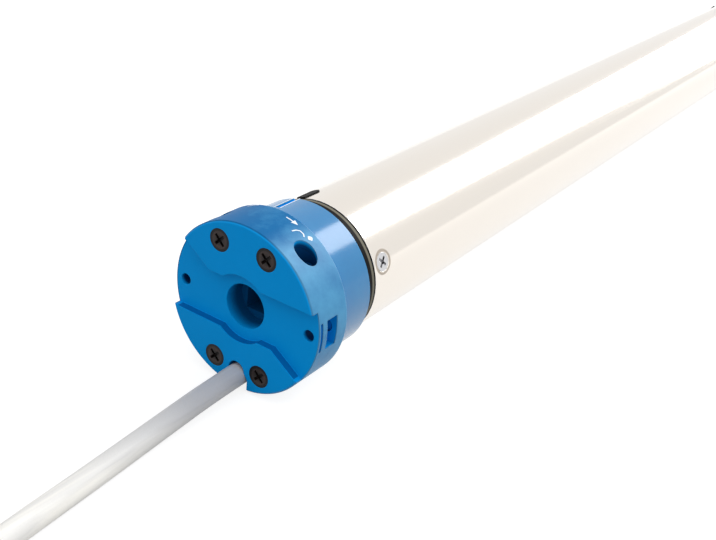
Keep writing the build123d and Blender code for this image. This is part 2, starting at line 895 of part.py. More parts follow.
def head_wire(side, level):
    """One core: along the cable, up inside the head and on to the terminals."""
    y = side * head_core_pitch / 2
    low = cable_height + level * head_core_pitch / 2
    high = -head_core_rise - level * head_core_pitch / 2
    turn = head_core_first_turn + (1 - level) / 2 * head_core_pitch
    route = [(jacket_end + seat_gap, y, low), (turn, y, low), (turn, y, high), (terminal_start, y, high)]
    path = FilletPolyline(*route, radius=head_core_bend)
    start = Plane(origin=route[0], z_dir=(1, 0, 0))
    return sweep(start * Circle(head_core_radius), path=path)


def head_wires():
    return Compound(children=[head_wire(*place) for place in core_places()])


# Cable and its coil
def bend_radii(route):
    """Each bend as large as the shorter of its two runs allows."""
    points = [Vector(*point) for point in route]
    radii = []
    for before, corner, after in zip(points, points[1:], points[2:]):
        turn = radians((corner - before).get_angle(after - corner))
        shorter = min((corner - before).length, (after - corner).length)
        radii.append(route_radius_share * shorter / tan(turn / 2))
    return radii


def whole_route():
    return [(jacket_end, 0, cable_height)] + cable_route


def power_cable():
    radii = bend_radii(whole_route())
    print("cable bend radii", [round(radius) for radius in radii])
    path = FilletPolyline(*whole_route(), radius=radii)
    start = Plane(origin=path @ 0, z_dir=path % 0)
    cable = sweep(start * Circle(cable_radius), path=path)
    print("cable volume share", cable.volume / (pi * cable_radius ** 2 * path.length))
    return cable


def coil_entry():
    """Where the coil's tube starts, and which way it points there."""
    last, end = [Vector(*point) for point in cable_route[-2:]]
    return end, (end - last).normalized()


def coil_reversals():
    """Angles at which the spiral turns from inward to outward or back."""
    layer = 2 * pi * coil_layer_turns
    first = layer + pi / 2
    return [first + index * (layer + pi) for index in range(coil_layers - 1)]


def coil_angle():
    return coil_reversals()[-1] + 2 * pi * coil_layer_turns + pi / 2


def coil_radius(turned):
    marks = [0] + coil_reversals() + [2 * coil_angle()]
    radius = coil_start_radius
    inward = -1
    for low, high in zip(marks, marks[1:]):
        span = min(max(turned - low, 0), high - low)
        radius += inward * span * coil_turn_pitch / (2 * pi)
        inward = -inward
    return radius


def coil_rise(turned):
    climbs = [(turned - mark + pi / 2) / pi for mark in coil_reversals()]
    return coil_layer_pitch * sum(min(max(climb, 0), 1) for climb in climbs)


def coil_right():
    """The side that the loops lie on, as the cable enters its hank."""
    along = coil_entry()[1]
    return Vector(along.Y, -along.X)


def coil_centre():
    start, along = coil_entry()
    return start + along * (2 * cable_radius + coil_run / 2) + coil_right() * coil_start_radius


def half_lap_shares():
    """A half lap is a straight run and then a half turn: the share that is run."""
    arc = pi * coil_start_radius
    return coil_run / (coil_run + arc)


def coil_point(turned):
    """A point of the hank's line, after so much of its laps, where a whole lap is 2 pi."""
    along = coil_entry()[1]
    half_laps, rest = divmod(turned, pi)
    side = -1 if half_laps % 2 else 1
    share = rest / pi
    run_share = half_lap_shares()
    angle = pi * max(share - run_share, 0) / (1 - run_share)
    radius = coil_radius(turned)
    forward = coil_run * (min(share / run_share, 1) - 1 / 2) + radius * sin(angle)
    across = -radius * cos(angle)
    place = (along * forward + coil_right() * across) * side
    return coil_centre() + place + Vector(0, 0, coil_rise(turned))


def coil_tangent(turned, step):
    return (coil_point(turned + step) - coil_point(turned - step)).normalized()


def biarc(start, start_way, end, end_way):
    """Two arcs that join two points and meet the given directions."""
    span = end - start
    ways = start_way + end_way
    spread = 2 * (1 - start_way.dot(end_way))
    along = span.dot(ways)
    reach = span.dot(span) / (sqrt(along * along + spread * span.dot(span)) + along)
    first_corner = start + start_way * reach
    second_corner = end - end_way * reach
    middle = (first_corner + second_corner) * 0.5
    middle_way = (second_corner - first_corner).normalized()
    return [TangentArc(start, middle, tangent=start_way), TangentArc(middle, end, tangent=middle_way)]


def coil_edges():
    """Straight lead, pairs of arcs for each run and each quarter turn, and a straight tail."""
    start, along = coil_entry()
    run_share = half_lap_shares()
    shares = (0, run_share / 2, run_share, (1 + run_share) / 2)
    half_laps = round(coil_angle() / pi)
    marks = [pi * (index + share) for index in range(half_laps) for share in shares]
    marks.append(coil_angle())
    step = pi * (1 - run_share) / 2 / coil_tangent_steps
    points = [coil_point(mark) for mark in marks]
    ways = [along] + [coil_tangent(mark, step) for mark in marks[1:]]
    edges = [Line(start, points[0])]
    for index in range(len(marks) - 1):
        edges += biarc(points[index], ways[index], points[index + 1], ways[index + 1])
    edges.append(Line(points[-1], points[-1] + ways[-1] * 2 * cable_radius))
    return [edge.edge() for edge in edges]


def least_self_gap(edges, samples):
    """Smallest gap between stretches of the tube that lie more than two diameters apart along it."""
    points = []
    travelled = 0
    for edge in edges:
        for index in range(samples):
            share = index / samples
            points.append((travelled + share * edge.length, edge @ share))
        travelled += edge.length
    least = travelled
    for index, (place, point) in enumerate(points):
        for other_place, other in points[index + 1:]:
            if other_place - place > 4 * cable_radius:
                least = min(least, (point - other).length)
    return least - 2 * cable_radius


def cable_coil():
    edges = coil_edges()
    path = Wire(edges)
    print("coil length", round(path.length), "least gap", round(least_self_gap(edges, 12), 2))
    start, along = coil_entry()
    return sweep(Plane(origin=start, z_dir=along) * Circle(cable_radius), path=path)


def coil_tie():
    """Strap round both sides of the hank at its middle, with its lock on top of one side."""
    bottom = -cable_radius - tie_gap
    top = coil_layer_pitch * (coil_layers - 1) + cable_radius + tie_gap
    width = 2 * (coil_start_radius + cable_radius + tie_gap)
    height = top - bottom
    hollow = RectangleRounded(width, height, tie_corner)
    band = RectangleRounded(width + 2 * tie_thickness, height + 2 * tie_thickness,
                            tie_corner + tie_thickness) - hollow
    lock = Pos(coil_start_radius - coil_turn_pitch, (height + tie_head) / 2) * Rectangle(tie_head, tie_head)
    outline = Pos(0, (bottom + top) / 2) * (band + lock)
    flat = Plane(origin=coil_centre(), x_dir=coil_right(), z_dir=-coil_entry()[1])
    return extrude(flat * outline, amount=tie_width / 2, both=True)


def coil_exit():
    """Where the jacket ends, and which way the cores leave it."""
    last = coil_edges()[-1]
    return last @ 1, last % 1


def tail_core_path(side, level):
    end, way = coil_exit()
    across = Vector(0, 0, 1).cross(way).normalized()
    up = way.cross(across)
    offset_here = across * (side * tail_core_pitch / 2) + up * (level * tail_core_pitch / 2)
    fan = across * (side * tail_core_spread) + up * (level * tail_core_level_spread)
    start = end + offset_here
    corner = start + way * tail_core_straight
    tip = corner + way * (tail_core_length - tail_core_straight) + fan
    return FilletPolyline(start, corner, tip, radius=bend_radii([start, corner, tip]))


def tail_core(side, level):
    path = tail_core_path(side, level)
    return sweep(Plane(origin=path @ 0, z_dir=path % 0) * Circle(tail_core_radius), path=path)


def core_ferrule(side, level):
    path = tail_core_path(side, level)
    tip = Plane(origin=path @ 1, z_dir=path % 1)
    collar = extrude(tip * Circle(ferrule_collar_radius), amount=ferrule_collar_length)
    pin = extrude(tip * Circle(ferrule_pin_radius), amount=ferrule_collar_length + ferrule_pin_length)
    return collar + pin


def core_places():
    return [(side, level) for side in (1, -1) for level in (1, -1)]


def cable_cores():
    return Compound(children=[tail_core(*place) for place in core_places()])


def core_ferrules():
    return Compound(children=[core_ferrule(*place) for place in core_places()])


# Capacitor and cradle
def capacitor_cradle():
    outer = inner_fit
    inner = capacitor_radius + seat_gap
    end = cradle_end
    body = sleeve(outer, inner, cradle_start, cradle_start + cradle_ring_length)
    body += sleeve(outer, inner, end - cradle_ring_length, end)
    thickness = outer - inner - 2 * seat_gap
    for index in range(cradle_bar_count):
        bar = Pos(0, inner + seat_gap + thickness / 2) * Rectangle(cradle_bar_width, thickness)
        bar = Rot(0, 0, 360 * index / cradle_bar_count) * bar & Circle(outer) - Circle(inner)
        body += prism(bar, cradle_start, end)
    return body


def capacitor():
    start = cradle_start + cradle_overhang
    end = start + capacitor_length
    can = disc(capacitor_radius, start, end)
    can = fillet(can.edges().filter_by(GeomType.CIRCLE), capacitor_edge)
    for side in (1, -1):
        tab = Pos(side * terminal_tab_spacing / 2, 0) * Rectangle(
            terminal_tab_thickness, terminal_tab_width)
        can += prism(tab, start - terminal_tab_length, start + capacitor_edge)
    return can


# Motor
def shield(inner_face, outer_face, stack_face):
    """End shield: plate, rim to the stack and a boss for the bearing."""
    outer = inner_fit
    outward = 1 if outer_face > inner_face else -1
    low, high = sorted((inner_face, outer_face))
    rim_low, rim_high = sorted((inner_face, stack_face))
    boss_low, boss_high = sorted((inner_face - outward * shield_boss_length / 2,
                                  outer_face + outward * shield_boss_length / 2))
    body = disc(outer, low, high)
    body += sleeve(outer, outer - shield_rim_wall, rim_low, rim_high)
    body += disc(shield_boss_radius, boss_low, boss_high)
    body -= disc(shaft_radius + turning_gap, boss_low - overrun, boss_high + overrun)
    middle = (inner_face + outer_face) / 2
    body -= disc(bearing_radius + seat_gap, middle - bearing_length / 2, boss_high + overrun)
    for index in range(shield_window_count):
        window = Rot(0, 0, 360 * index / shield_window_count) * Pos(0, shield_window_circle)
        body -= prism(window * Circle(shield_window_radius), low - overrun, high + overrun)
    return body


def front_shield():
    inner_face = motor_front + shield_thickness
    return shield(inner_face, motor_front, stack_start)


def rear_shield():
    inner_face = brake_start - shield_thickness
    return shield(inner_face, brake_start, stack_end)


def motor_bearing(middle):
    start = middle - bearing_length / 2
    return sleeve(bearing_radius, shaft_radius + running_gap, start, start + bearing_length)


def motor_bearings():
    half = shield_thickness / 2
    middles = (motor_front + half, brake_start - half)
    return Compound(children=[motor_bearing(middle) for middle in middles])


def slot_outline(inner, outer, tooth_width):
    """One stator slot between two parallel-sided teeth."""
    half = pi / stator_slots
    inner_half = inner * tan(half) - tooth_width / (2 * cos(half))
    outer_half = outer * tan(half) - tooth_width / (2 * cos(half))
    return make_face(Polyline(
        (-inner_half, inner),
        (inner_half, inner),
        (outer_half, outer),
        (-outer_half, outer),
        close=True,
    ))


def slot_turns():
    return [Rot(0, 0, 360 * (index + 0.5) / stator_slots) for index in range(stator_slots)]


def stator_core():
    lamination = Circle(tube_bore - seat_gap) - Circle(stator_bore)
    opening = Pos(0, (stator_bore + slot_inner) / 2) * Rectangle(
        slot_opening, slot_inner - stator_bore + slot_opening)
    slot = slot_outline(slot_inner, slot_outer, slot_tooth_width) + opening
    for turn in slot_turns():
        lamination -= turn * slot
    return prism(lamination, stack_start, stack_end)


def stator_winding():
    """Copper in the slots, joined by an end ring at each end of the stack."""
    start = stack_start - winding_overhang
    end = stack_end + winding_overhang
    tooth = slot_tooth_width + 2 * winding_gap
    bar = slot_outline(slot_inner + winding_gap, slot_outer - winding_gap, tooth)
    outer = slot_outer - winding_gap
    body = sleeve(outer, winding_inner, start, stack_start - winding_gap)
    body += sleeve(outer, winding_inner, stack_end + winding_gap, end)
    body = fillet(body.edges().filter_by(GeomType.CIRCLE).group_by(Axis.X)[0], edge_break)
    for turn in slot_turns():
        body += prism(turn * bar, stack_start - winding_gap, stack_end + winding_gap)
    return body


def rotor_core():
    outer = stator_bore - air_gap
    bore = shaft_radius + seat_gap
    body = sleeve(outer, bore, stack_start, stack_end)
    ring_outer = outer - rotor_end_ring_step
    for start in (stack_start - rotor_end_ring, stack_end):
        body += sleeve(ring_outer, rotor_hub_radius, start, start + rotor_end_ring)
    return body


# Brake
def brake_housing():
    outer = inner_fit
    cup = sleeve(outer, outer - brake_housing_wall, brake_start, brake_end)
    wall = sleeve(outer, brake_shaft_hole, brake_end - brake_end_wall, brake_end)
    return cup + wall


def brake_disc():
    end = brake_disc_start + brake_disc_thickness
    bore = shaft_radius + seat_gap
    hub = sleeve(brake_hub_radius, bore, end - brake_hub_length, end + brake_disc_thickness / 2)
    return sleeve(brake_disc_radius, bore, brake_disc_start, end) + hub


def armature_start():
    return brake_disc_start + brake_disc_thickness + turning_gap


def brake_armature():
    start = armature_start()
    return sleeve(armature_radius, armature_bore, start, start + armature_thickness)


def brake_spring():
    start = armature_start() + armature_thickness + brake_travel + seat_gap
    return sleeve(spring_radius, spring_radius - spring_wall, start, brake_end - brake_end_wall)


# Gearbox
def stage_start(stage):
    """Where a stage's planets start."""
    x = ring_start + stage_front_gap
    for before in range(stage):
        x += stage_planet_lengths[before] + carrier_plate_thicknesses[before] + stage_gap
    return x


def stage_end(stage):
    return stage_start(stage) + stage_planet_lengths[stage]


def gearbox_plate():
    return sleeve(inner_fit, brake_shaft_hole, brake_end, ring_start)


def ring_gear():
    outline = Circle(tube_bore - ring_outer_gap) - inner_teeth(ring_teeth)
    return prism(outline, ring_start, ring_end)


def planet_turn(index):
    return Rot(0, 0, 360 * index / planet_count)


def planet_gear(stage, index):
    gear = outer_teeth(planet_teeth) - Circle(planet_pin_radius + running_gap)
    place = planet_turn(index) * Pos(planet_centre, 0)
    return prism(place * gear, stage_start(stage), stage_end(stage))


def sun_gear():
    gear = outer_teeth(sun_teeth) - Circle(sun_bore_radius())
    return prism(gear, stage_start(0) - stage_front_gap / 2, stage_end(0))


def sun_bore_radius():
    return shaft_nose_radius() + seat_gap


def shaft_nose_radius():
    """The shaft's thin nose that carries the first sun gear."""
    return pitch_radius_unit * sun_teeth - gear_module * tooth_foot_share - sun_wall


def motor_shaft():
    nose_start = stage_start(0) - stage_front_gap / 2
    start = motor_front - shield_boss_length
    return disc(shaft_radius, start, nose_start) + disc(shaft_nose_radius(), nose_start, stage_end(0))


def planet_pins(stage):
    plate = stage_end(stage) + turning_gap
    pins = [
        prism(planet_turn(index) * Pos(planet_centre, 0) * Circle(planet_pin_radius),
              stage_start(stage), plate + overrun)
        for index in range(planet_count)
    ]
    return joined(pins)


def carrier_plate(stage):
    start = stage_end(stage) + turning_gap
    plate = disc(carrier_plate_radius, start, start + carrier_plate_thicknesses[stage])
    plate = chamfer(plate.edges().filter_by(GeomType.CIRCLE), edge_break)
    return plate + planet_pins(stage)


def geared_carrier(stage):
    """Carrier with its pins and the next stage's sun gear in one piece."""
    start = stage_end(stage) + carrier_plate_thicknesses[stage]
    return carrier_plate(stage) + prism(outer_teeth(sun_teeth), start, stage_end(stage + 1))


def output_shaft():
    journal_start = stage_end(2) + carrier_plate_thicknesses[2]
    flats_start = tube_end + end_cap_flange + drive_wheel_start_gap
    end = flats_start + drive_wheel_length + output_tail
    body = carrier_plate(2) + disc(output_journal_radius, journal_start, flats_start)
    profile = Circle(output_journal_radius) & Rectangle(4 * output_journal_radius, 2 * drive_flat_half)
    tail = prism(profile, flats_start, end)
    tail -= sleeve(2 * output_journal_radius, clip_groove_radius, clip_start(),
                   clip_start() + clip_thickness + 2 * seat_gap)
    return body + tail


def clip_start():
    wheel_start = tube_end + end_cap_flange + drive_wheel_start_gap
    return wheel_start + drive_wheel_length + seat_gap


# Output end
def end_cap():
    outer = inner_fit
    body = disc(outer, ring_end, tube_end)
    flange = disc(tube_radius, tube_end, tube_end + end_cap_flange)
    flange = chamfer(flange.edges().filter_by(GeomType.CIRCLE).group_by(Axis.X)[-1], edge_break)
    body += flange
    body -= disc(output_bearing_radius + seat_gap, ring_end - overrun,
                 tube_end + end_cap_flange + overrun)
    holes = [tube_screw_hole(end_cap_screw_x(), turn) for turn in tube_screw_turns()]
    return without(body, holes)


def output_bearing():
    return sleeve(output_bearing_radius, output_journal_radius + running_gap, ring_end,
                  tube_end + end_cap_flange)


def drive_wheel():
    start = tube_end + end_cap_flange + drive_wheel_start_gap
    end = start + drive_wheel_length
    rim = sleeve(crown_radius, crown_radius - drive_wheel_rim, start, end)
    rim = chamfer(rim.edges().filter_by(GeomType.CIRCLE).filter_by(
        lambda edge: edge.radius > crown_radius - edge_break), edge_break)
    body = rim + disc(drive_wheel_hub, start, end)
    reach = crown_radius - drive_wheel_rim / 2
    for index in range(drive_wheel_spokes):
        spoke = Pos(0, reach / 2) * Rectangle(drive_wheel_web, reach)
        spoke = Rot(0, 0, 360 * index / drive_wheel_spokes) * spoke
        body += prism(spoke, start + edge_break, end - edge_break)
    bore = Circle(output_journal_radius + seat_gap)
    bore &= Rectangle(4 * output_journal_radius, 2 * (drive_flat_half + seat_gap))
    body -= prism(bore, start - overrun, end + overrun)
    for index in range(drive_wheel_notches):
        turn = Rot(0, 0, 360 * (index + 0.5) / drive_wheel_notches)
        notch = turn * Pos(0, crown_radius) * Circle(drive_wheel_notch)
        body -= prism(notch, start - overrun, end + overrun)
    return body


def wheel_clip():
    outline = Circle(clip_radius) - Circle(clip_groove_radius + seat_gap)
    outline -= Pos(0, -clip_radius) * Rectangle(clip_opening, 2 * clip_radius)
    start = clip_start() + seat_gap
    return prism(outline, start, start + clip_thickness)


def parts():
    pieces = {
        "head_cover": head_cover(),
        "face_screws": face_screws(),
        "head_frame": head_frame(),
        "upper_limit_adjuster": limit_adjuster(-1),
        "lower_limit_adjuster": limit_adjuster(1),
        "crown": crown(),
        "tube_collar": tube_collar(),
        "motor_tube": motor_tube(),
        "tube_screws": tube_screws(),
        "limit_spindle": limit_spindle(),
        "upper_limit_nut": limit_nut(limit_nut_starts()[0]),
        "lower_limit_nut": limit_nut(limit_nut_starts()[1]),
        "guide_rod": guide_rod(),
        "switch_carrier": switch_carrier(),
        "upper_microswitch": microswitch(limit_nut_starts()[0] + switch_lag),
        "lower_microswitch": microswitch(limit_nut_starts()[1] + switch_lag),
        "terminal_block": terminal_block(),
        "cable_clamp": cable_clamp(),
        "clamp_screws": clamp_screws(),
        "head_wires": head_wires(),
        "power_cable": power_cable(),
        "cable_coil": cable_coil(),
        "coil_tie": coil_tie(),
        "cable_cores": cable_cores(),
        "core_ferrules": core_ferrules(),
        "capacitor_cradle": capacitor_cradle(),
        "capacitor": capacitor(),
        "front_shield": front_shield(),
        "rear_shield": rear_shield(),
        "motor_bearings": motor_bearings(),
        "stator_core": stator_core(),
        "stator_winding": stator_winding(),
        "rotor_core": rotor_core(),
        "motor_shaft": motor_shaft(),
        "brake_housing": brake_housing(),
        "brake_disc": brake_disc(),
        "brake_armature": brake_armature(),
        "brake_spring": brake_spring(),
        "gearbox_plate": gearbox_plate(),
        "ring_gear": ring_gear(),
        "sun_gear": sun_gear(),
        "first_carrier": geared_carrier(0),
        "second_carrier": geared_carrier(1),
        "output_shaft": output_shaft(),
        "output_bearing": output_bearing(),
        "end_cap": end_cap(),
        "end_cap_screws": end_cap_screws(),
        "drive_wheel": drive_wheel(),
        "wheel_clip": wheel_clip(),
    }
    for stage, name in enumerate(("first", "second", "third")):
        for index in range(planet_count):
            pieces[f"{name}_planet_{index + 1}"] = planet_gear(stage, index)
    return pieces


os.makedirs("parts", exist_ok=True)
for name, shape in parts().items():
    export_step(shape, f"parts/{name}.step")
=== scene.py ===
import bpy
import bmesh
import json
from math import cos, inf, pi, radians, sin
from mathutils import Matrix, Vector


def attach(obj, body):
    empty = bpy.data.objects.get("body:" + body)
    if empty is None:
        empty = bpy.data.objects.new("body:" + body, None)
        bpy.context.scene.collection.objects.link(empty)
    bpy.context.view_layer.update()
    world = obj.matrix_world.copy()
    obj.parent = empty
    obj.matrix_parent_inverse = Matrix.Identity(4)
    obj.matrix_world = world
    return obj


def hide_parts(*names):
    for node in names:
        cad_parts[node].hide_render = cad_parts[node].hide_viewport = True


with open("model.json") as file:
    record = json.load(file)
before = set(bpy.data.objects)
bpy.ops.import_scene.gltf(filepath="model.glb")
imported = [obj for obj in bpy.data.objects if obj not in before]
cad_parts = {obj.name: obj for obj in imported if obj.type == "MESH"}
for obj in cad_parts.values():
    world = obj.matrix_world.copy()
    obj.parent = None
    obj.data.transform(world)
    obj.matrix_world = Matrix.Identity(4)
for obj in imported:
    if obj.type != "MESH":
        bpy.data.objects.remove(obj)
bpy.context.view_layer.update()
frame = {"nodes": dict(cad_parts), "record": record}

mm = 0.001
scene = bpy.context.scene
nodes = frame["nodes"]
print("frame loaded:", len(nodes), "nodes")


# Small tools

def point(x, y, z):
    return Vector((x, y, z)) * mm


def srgb(red, green, blue):
    # a colour as a paint chart gives it, 0 to 255
    def linear(value):
        share = value / 255
        return share / 12.92 if share <= 0.04045 else ((share + 0.055) / 1.055) ** 2.4
    return (linear(red), linear(green), linear(blue), 1.0)


def newObject(name, data, body):
    piece = bpy.data.objects.new(name, data)
    scene.collection.objects.link(piece)
    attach(piece, body)
    return piece


def meshPiece(name, mesh, body, material):
    bmesh.ops.recalc_face_normals(mesh, faces=mesh.faces)
    data = bpy.data.meshes.new(name)
    mesh.to_mesh(data)
    mesh.free()
    data.materials.append(material)
    return newObject(name, data, body)


# Camera

cameraPlace = {
    "at": (-199.16, -160.05, 149.35),
    "forward": (0.75238, 0.46611, -0.46547),
    "up": (0.3333, 0.3401, 0.8793),
    "lens": 51.17,
    "sensor": 36,
    "nearest": 10,
}


def setCamera():
    forward = Vector(cameraPlace["forward"]).normalized()
    right = forward.cross(Vector(cameraPlace["up"])).normalized()
    up = right.cross(forward)
    data = bpy.data.cameras.new("photoCamera")
    data.lens = cameraPlace["lens"]
    data.sensor_width = cameraPlace["sensor"]
    data.sensor_fit = "HORIZONTAL"
    data.clip_start = cameraPlace["nearest"] * mm
    camera = bpy.data.objects.new("photoCamera", data)
    scene.collection.objects.link(camera)
    turn = Matrix((right, up, -forward)).transposed().to_4x4()
    camera.matrix_world = Matrix.Translation(point(*cameraPlace["at"])) @ turn
    scene.camera = camera


setCamera()


# Shader tools

class Socket:
    # wraps an output so that maths on it reads as maths
    def __init__(self, paint, link):
        self.paint = paint
        self.link = link

    def _maths(self, operation, first, second=None, clamp=False):
        inputs = {0: first} if second is None else {0: first, 1: second}
        settings = {"operation": operation, "use_clamp": clamp}
        return self.paint.add("ShaderNodeMath", settings, inputs)

    def __add__(self, other):
        return self._maths("ADD", self, other)

    __radd__ = __add__

    def __sub__(self, other):
        return self._maths("SUBTRACT", self, other)

    def __rsub__(self, other):
        return self._maths("SUBTRACT", other, self)

    def __mul__(self, other):
        return self._maths("MULTIPLY", self, other)

    __rmul__ = __mul__

    def __truediv__(self, other):
        return self._maths("DIVIDE", self, other)

    def __gt__(self, other):
        return self._maths("GREATER_THAN", self, other)

    def __lt__(self, other):
        return self._maths("LESS_THAN", self, other)

    def clamped(self):
        return self._maths("MULTIPLY", self, 1, clamp=True)

    def power(self, other):
        return self._maths("POWER", self, other)

    def absolute(self):
        return self._maths("ABSOLUTE", self)

    def sine(self):
        return self._maths("SINE", self)

    def ramped(self, start, width):
        # 0 at the start and 1 a width further on, both in mm
        return ((self - start * mm) / (width * mm)).clamped()


def distance(first, second):
    return (first * first + second * second).power(0.5)


class Paint:
    # one material under construction
    def __init__(self, name):
        self.material = bpy.data.materials.new(name)
        self.material.use_nodes = True
        self.tree = self.material.node_tree
        self.tree.nodes.clear()
        self.output = self.tree.nodes.new("ShaderNodeOutputMaterial")

    def add(self, kind, settings=None, inputs=None, out=0):
        node = self.tree.nodes.new(kind)
        for key, value in (settings or {}).items():
            setattr(node, key, value)
        for key, value in (inputs or {}).items():
            self.feed(node.inputs[key], value)
        return Socket(self, node.outputs[out])

    def feed(self, socket, value):
        if isinstance(value, Socket):
            self.tree.links.new(value.link, socket)
        else:
            socket.default_value = value

    def place(self):
        return self.add("ShaderNodeTexCoord", out="Object")

    def axes(self):
        node = self.tree.nodes.new("ShaderNodeSeparateXYZ")
        self.feed(node.inputs[0], self.place())
        return [Socket(self, output) for output in node.outputs]

    def noise(self, scale, detail=4, roughness=0.55, stretch=None):
        where = self.place()
        if stretch:
            where = self.add("ShaderNodeMapping", {}, {"Vector": where, "Scale": stretch})
        return self.add("ShaderNodeTexNoise", {},
                        {"Vector": where, "Scale": scale, "Detail": detail, "Roughness": roughness})

    def blend(self, factor, first, second):
        node = self.tree.nodes.new("ShaderNodeMix")
        node.data_type = "RGBA"
        self.feed(node.inputs[0], factor)
        self.feed(node.inputs[6], first)
        self.feed(node.inputs[7], second)
        return Socket(self, node.outputs[2])

    def bump(self, height, distance, strength=1.0, edge=0.0):
        inputs = {"Height": height, "Distance": distance, "Strength": strength}
        if edge:
            inputs["Normal"] = self.rounded(edge)
        return self.add("ShaderNodeBump", {}, inputs)

    def rounded(self, radius):
        return self.add("ShaderNodeBevel", {"samples": 6}, {"Radius": radius})

    def finish(self, **values):
        inputs = {key.replace("_", " "): value for key, value in values.items()}
        shader = self.add("ShaderNodeBsdfPrincipled", {}, inputs)
        self.tree.links.new(shader.link, self.output.inputs["Surface"])
        return self.material


# Finishes

mouldings = {
    "black_plastic": {
        "name": "blackMoulding",
        "colour": srgb(20, 20, 21),
        "deep": srgb(12, 12, 13),
        "roughness": 0.3,
        "edge": 0.2,
    },
    "white_nylon": {
        "name": "whiteNylon",
        "colour": srgb(236, 233, 224),
        "deep": srgb(222, 218, 206),
        "roughness": 0.45,
        "edge": 0.3,
    },
    "switch_black": {
        "name": "switchBlack",
        "colour": srgb(40, 40, 44),
        "deep": srgb(30, 30, 33),
        "roughness": 0.5,
        "edge": 0.2,
    },
    "tie_white": {
        "name": "tieWhite",
        "colour": srgb(238, 238, 232),
        "deep": srgb(222, 222, 214),
        "roughness": 0.4,
        "edge": 0.2,
    },
    "capacitor_white": {
        "name": "capacitorCan",
        "colour": srgb(226, 226, 224),
        "deep": srgb(208, 208, 208),
        "roughness": 0.4,
        "edge": 0.3,
    },
}
sparkTexture = {
    "spark": (2600, 3, 0.6),
    "flow": (160, 2, 0.5, (0.25, 1, 1)),
    "sparkShare": 0.7,
    "flowShare": 0.3,
    "depth": 0.03,
    "strength": 0.5,
}


def mouldTexture(paint):
    # fine spark texture over faint flow lines
    spark = paint.noise(*sparkTexture["spark"])
    flow = paint.noise(*sparkTexture["flow"])
    height = spark * sparkTexture["sparkShare"] + flow * sparkTexture["flowShare"]
    return spark, flow, height


def mouldBump(paint, height, edge):
    return paint.bump(height, sparkTexture["depth"] * mm, sparkTexture["strength"], edge * mm)


def mouldedPlastic(name, colour, deep, roughness, edge):
    # satin moulding with faint mottling and softened edges
    paint = Paint(name)
    cloud = paint.noise(45, 5, 0.6)
    spark, flow, height = mouldTexture(paint)
    return paint.finish(
        Base_Color=paint.blend((cloud * 0.55 + flow * 0.25).clamped(), colour, deep),
        Roughness=(roughness - 0.06 + cloud * 0.1 + spark * 0.04).clamped(),
        Normal=mouldBump(paint, height, edge),
    )


headBlue = {
    "name": "blueHead",
    "radius": 26.8,
    "backRim": 13.35,
    "sheen": 0.5,
    "gloss": 0.06,
    "worn": srgb(0, 97, 154),
    # pale mottling, and the colour of the painted reflection on the side towards -y
    "paleMottleAndReflection": srgb(66, 143, 188),
    "reflectionShare": 0.7,
}
crownBlue = {
    "name": "blueCrown",
    "radius": 24,
    "backRim": 29.4,
    "sheen": 0.16,
    "gloss": 0.94,
    "worn": srgb(0, 114, 170),
    # pale mottling only: the crown has no painted reflection
    "paleMottleAndReflection": srgb(18, 128, 180),
    "reflectionShare": 0,
}
blueColours = {
    "plain": srgb(0, 152, 230),
    "plainDeep": srgb(0, 142, 218),
    # painted shade on the walls of the face's channel
    "channelWallShade": srgb(0, 84, 148),
    # colour of the painted highlight along the back rim of the side
    "rim": srgb(150, 198, 230),
    # colour of the painted shade inside the bore and holes
    "inside": srgb(0, 30, 76),
}
blueForm = {
    "sideSkin": 0.4,
    "sideEdge": 0.25,
    "rimWidth": 0.45,
    "edge": 0.35,
    # where the painted reflection on the side begins along -y, and how far it rises
    "reflectionStart": -6,
    "reflectionWidth": 8,
}
# where the painted shade in the bore and holes lies
headHoles = {
    "boreRadius": 7.3,
    "boreEdge": 0.2,
    "boreMouth": 0.2,
    "boreFade": 4,
    "adjusterX": 5.45,
    "adjusterY": 15.75,
    "adjusterRadius": 3.6,
    "adjusterLow": 8,
    "adjusterMouth": 26.5,
    "adjusterFade": 1,
    "bracketY": 23.1,
    "bracketRadius": 1.95,
    "bracketMouth": 0.3,
    "bracketFade": 1,
    "bracketEnd": 9,
}
# where the painted shade on the channel walls lies, along x and out from the axis
faceChannel = {
    "front": -2.4,
    "foot": -0.15,
    "reach": 25.4,
}


def paintedHoleShade(x, y, z, around):
    # painted shade: 1 deep in the bore, the adjusting holes and the bracket screw holes
    bore = around.ramped(headHoles["boreRadius"], -headHoles["boreEdge"])
    bore = bore * x.ramped(headHoles["boreMouth"], headHoles["boreFade"])
    aside = y.absolute()
    adjuster = distance(x - headHoles["adjusterX"] * mm, aside - headHoles["adjusterY"] * mm)
    adjuster = (adjuster < headHoles["adjusterRadius"] * mm) * (z > headHoles["adjusterLow"] * mm)
    adjuster = adjuster * around.ramped(headHoles["adjusterMouth"], -headHoles["adjusterFade"])
    bracket = distance(aside - headHoles["bracketY"] * mm, z) < headHoles["bracketRadius"] * mm
    bracket = bracket * x.ramped(headHoles["bracketMouth"], headHoles["bracketFade"])
    bracket = bracket * (x < headHoles["bracketEnd"] * mm)
    return (bore * 0.85 + adjuster + bracket).clamped()


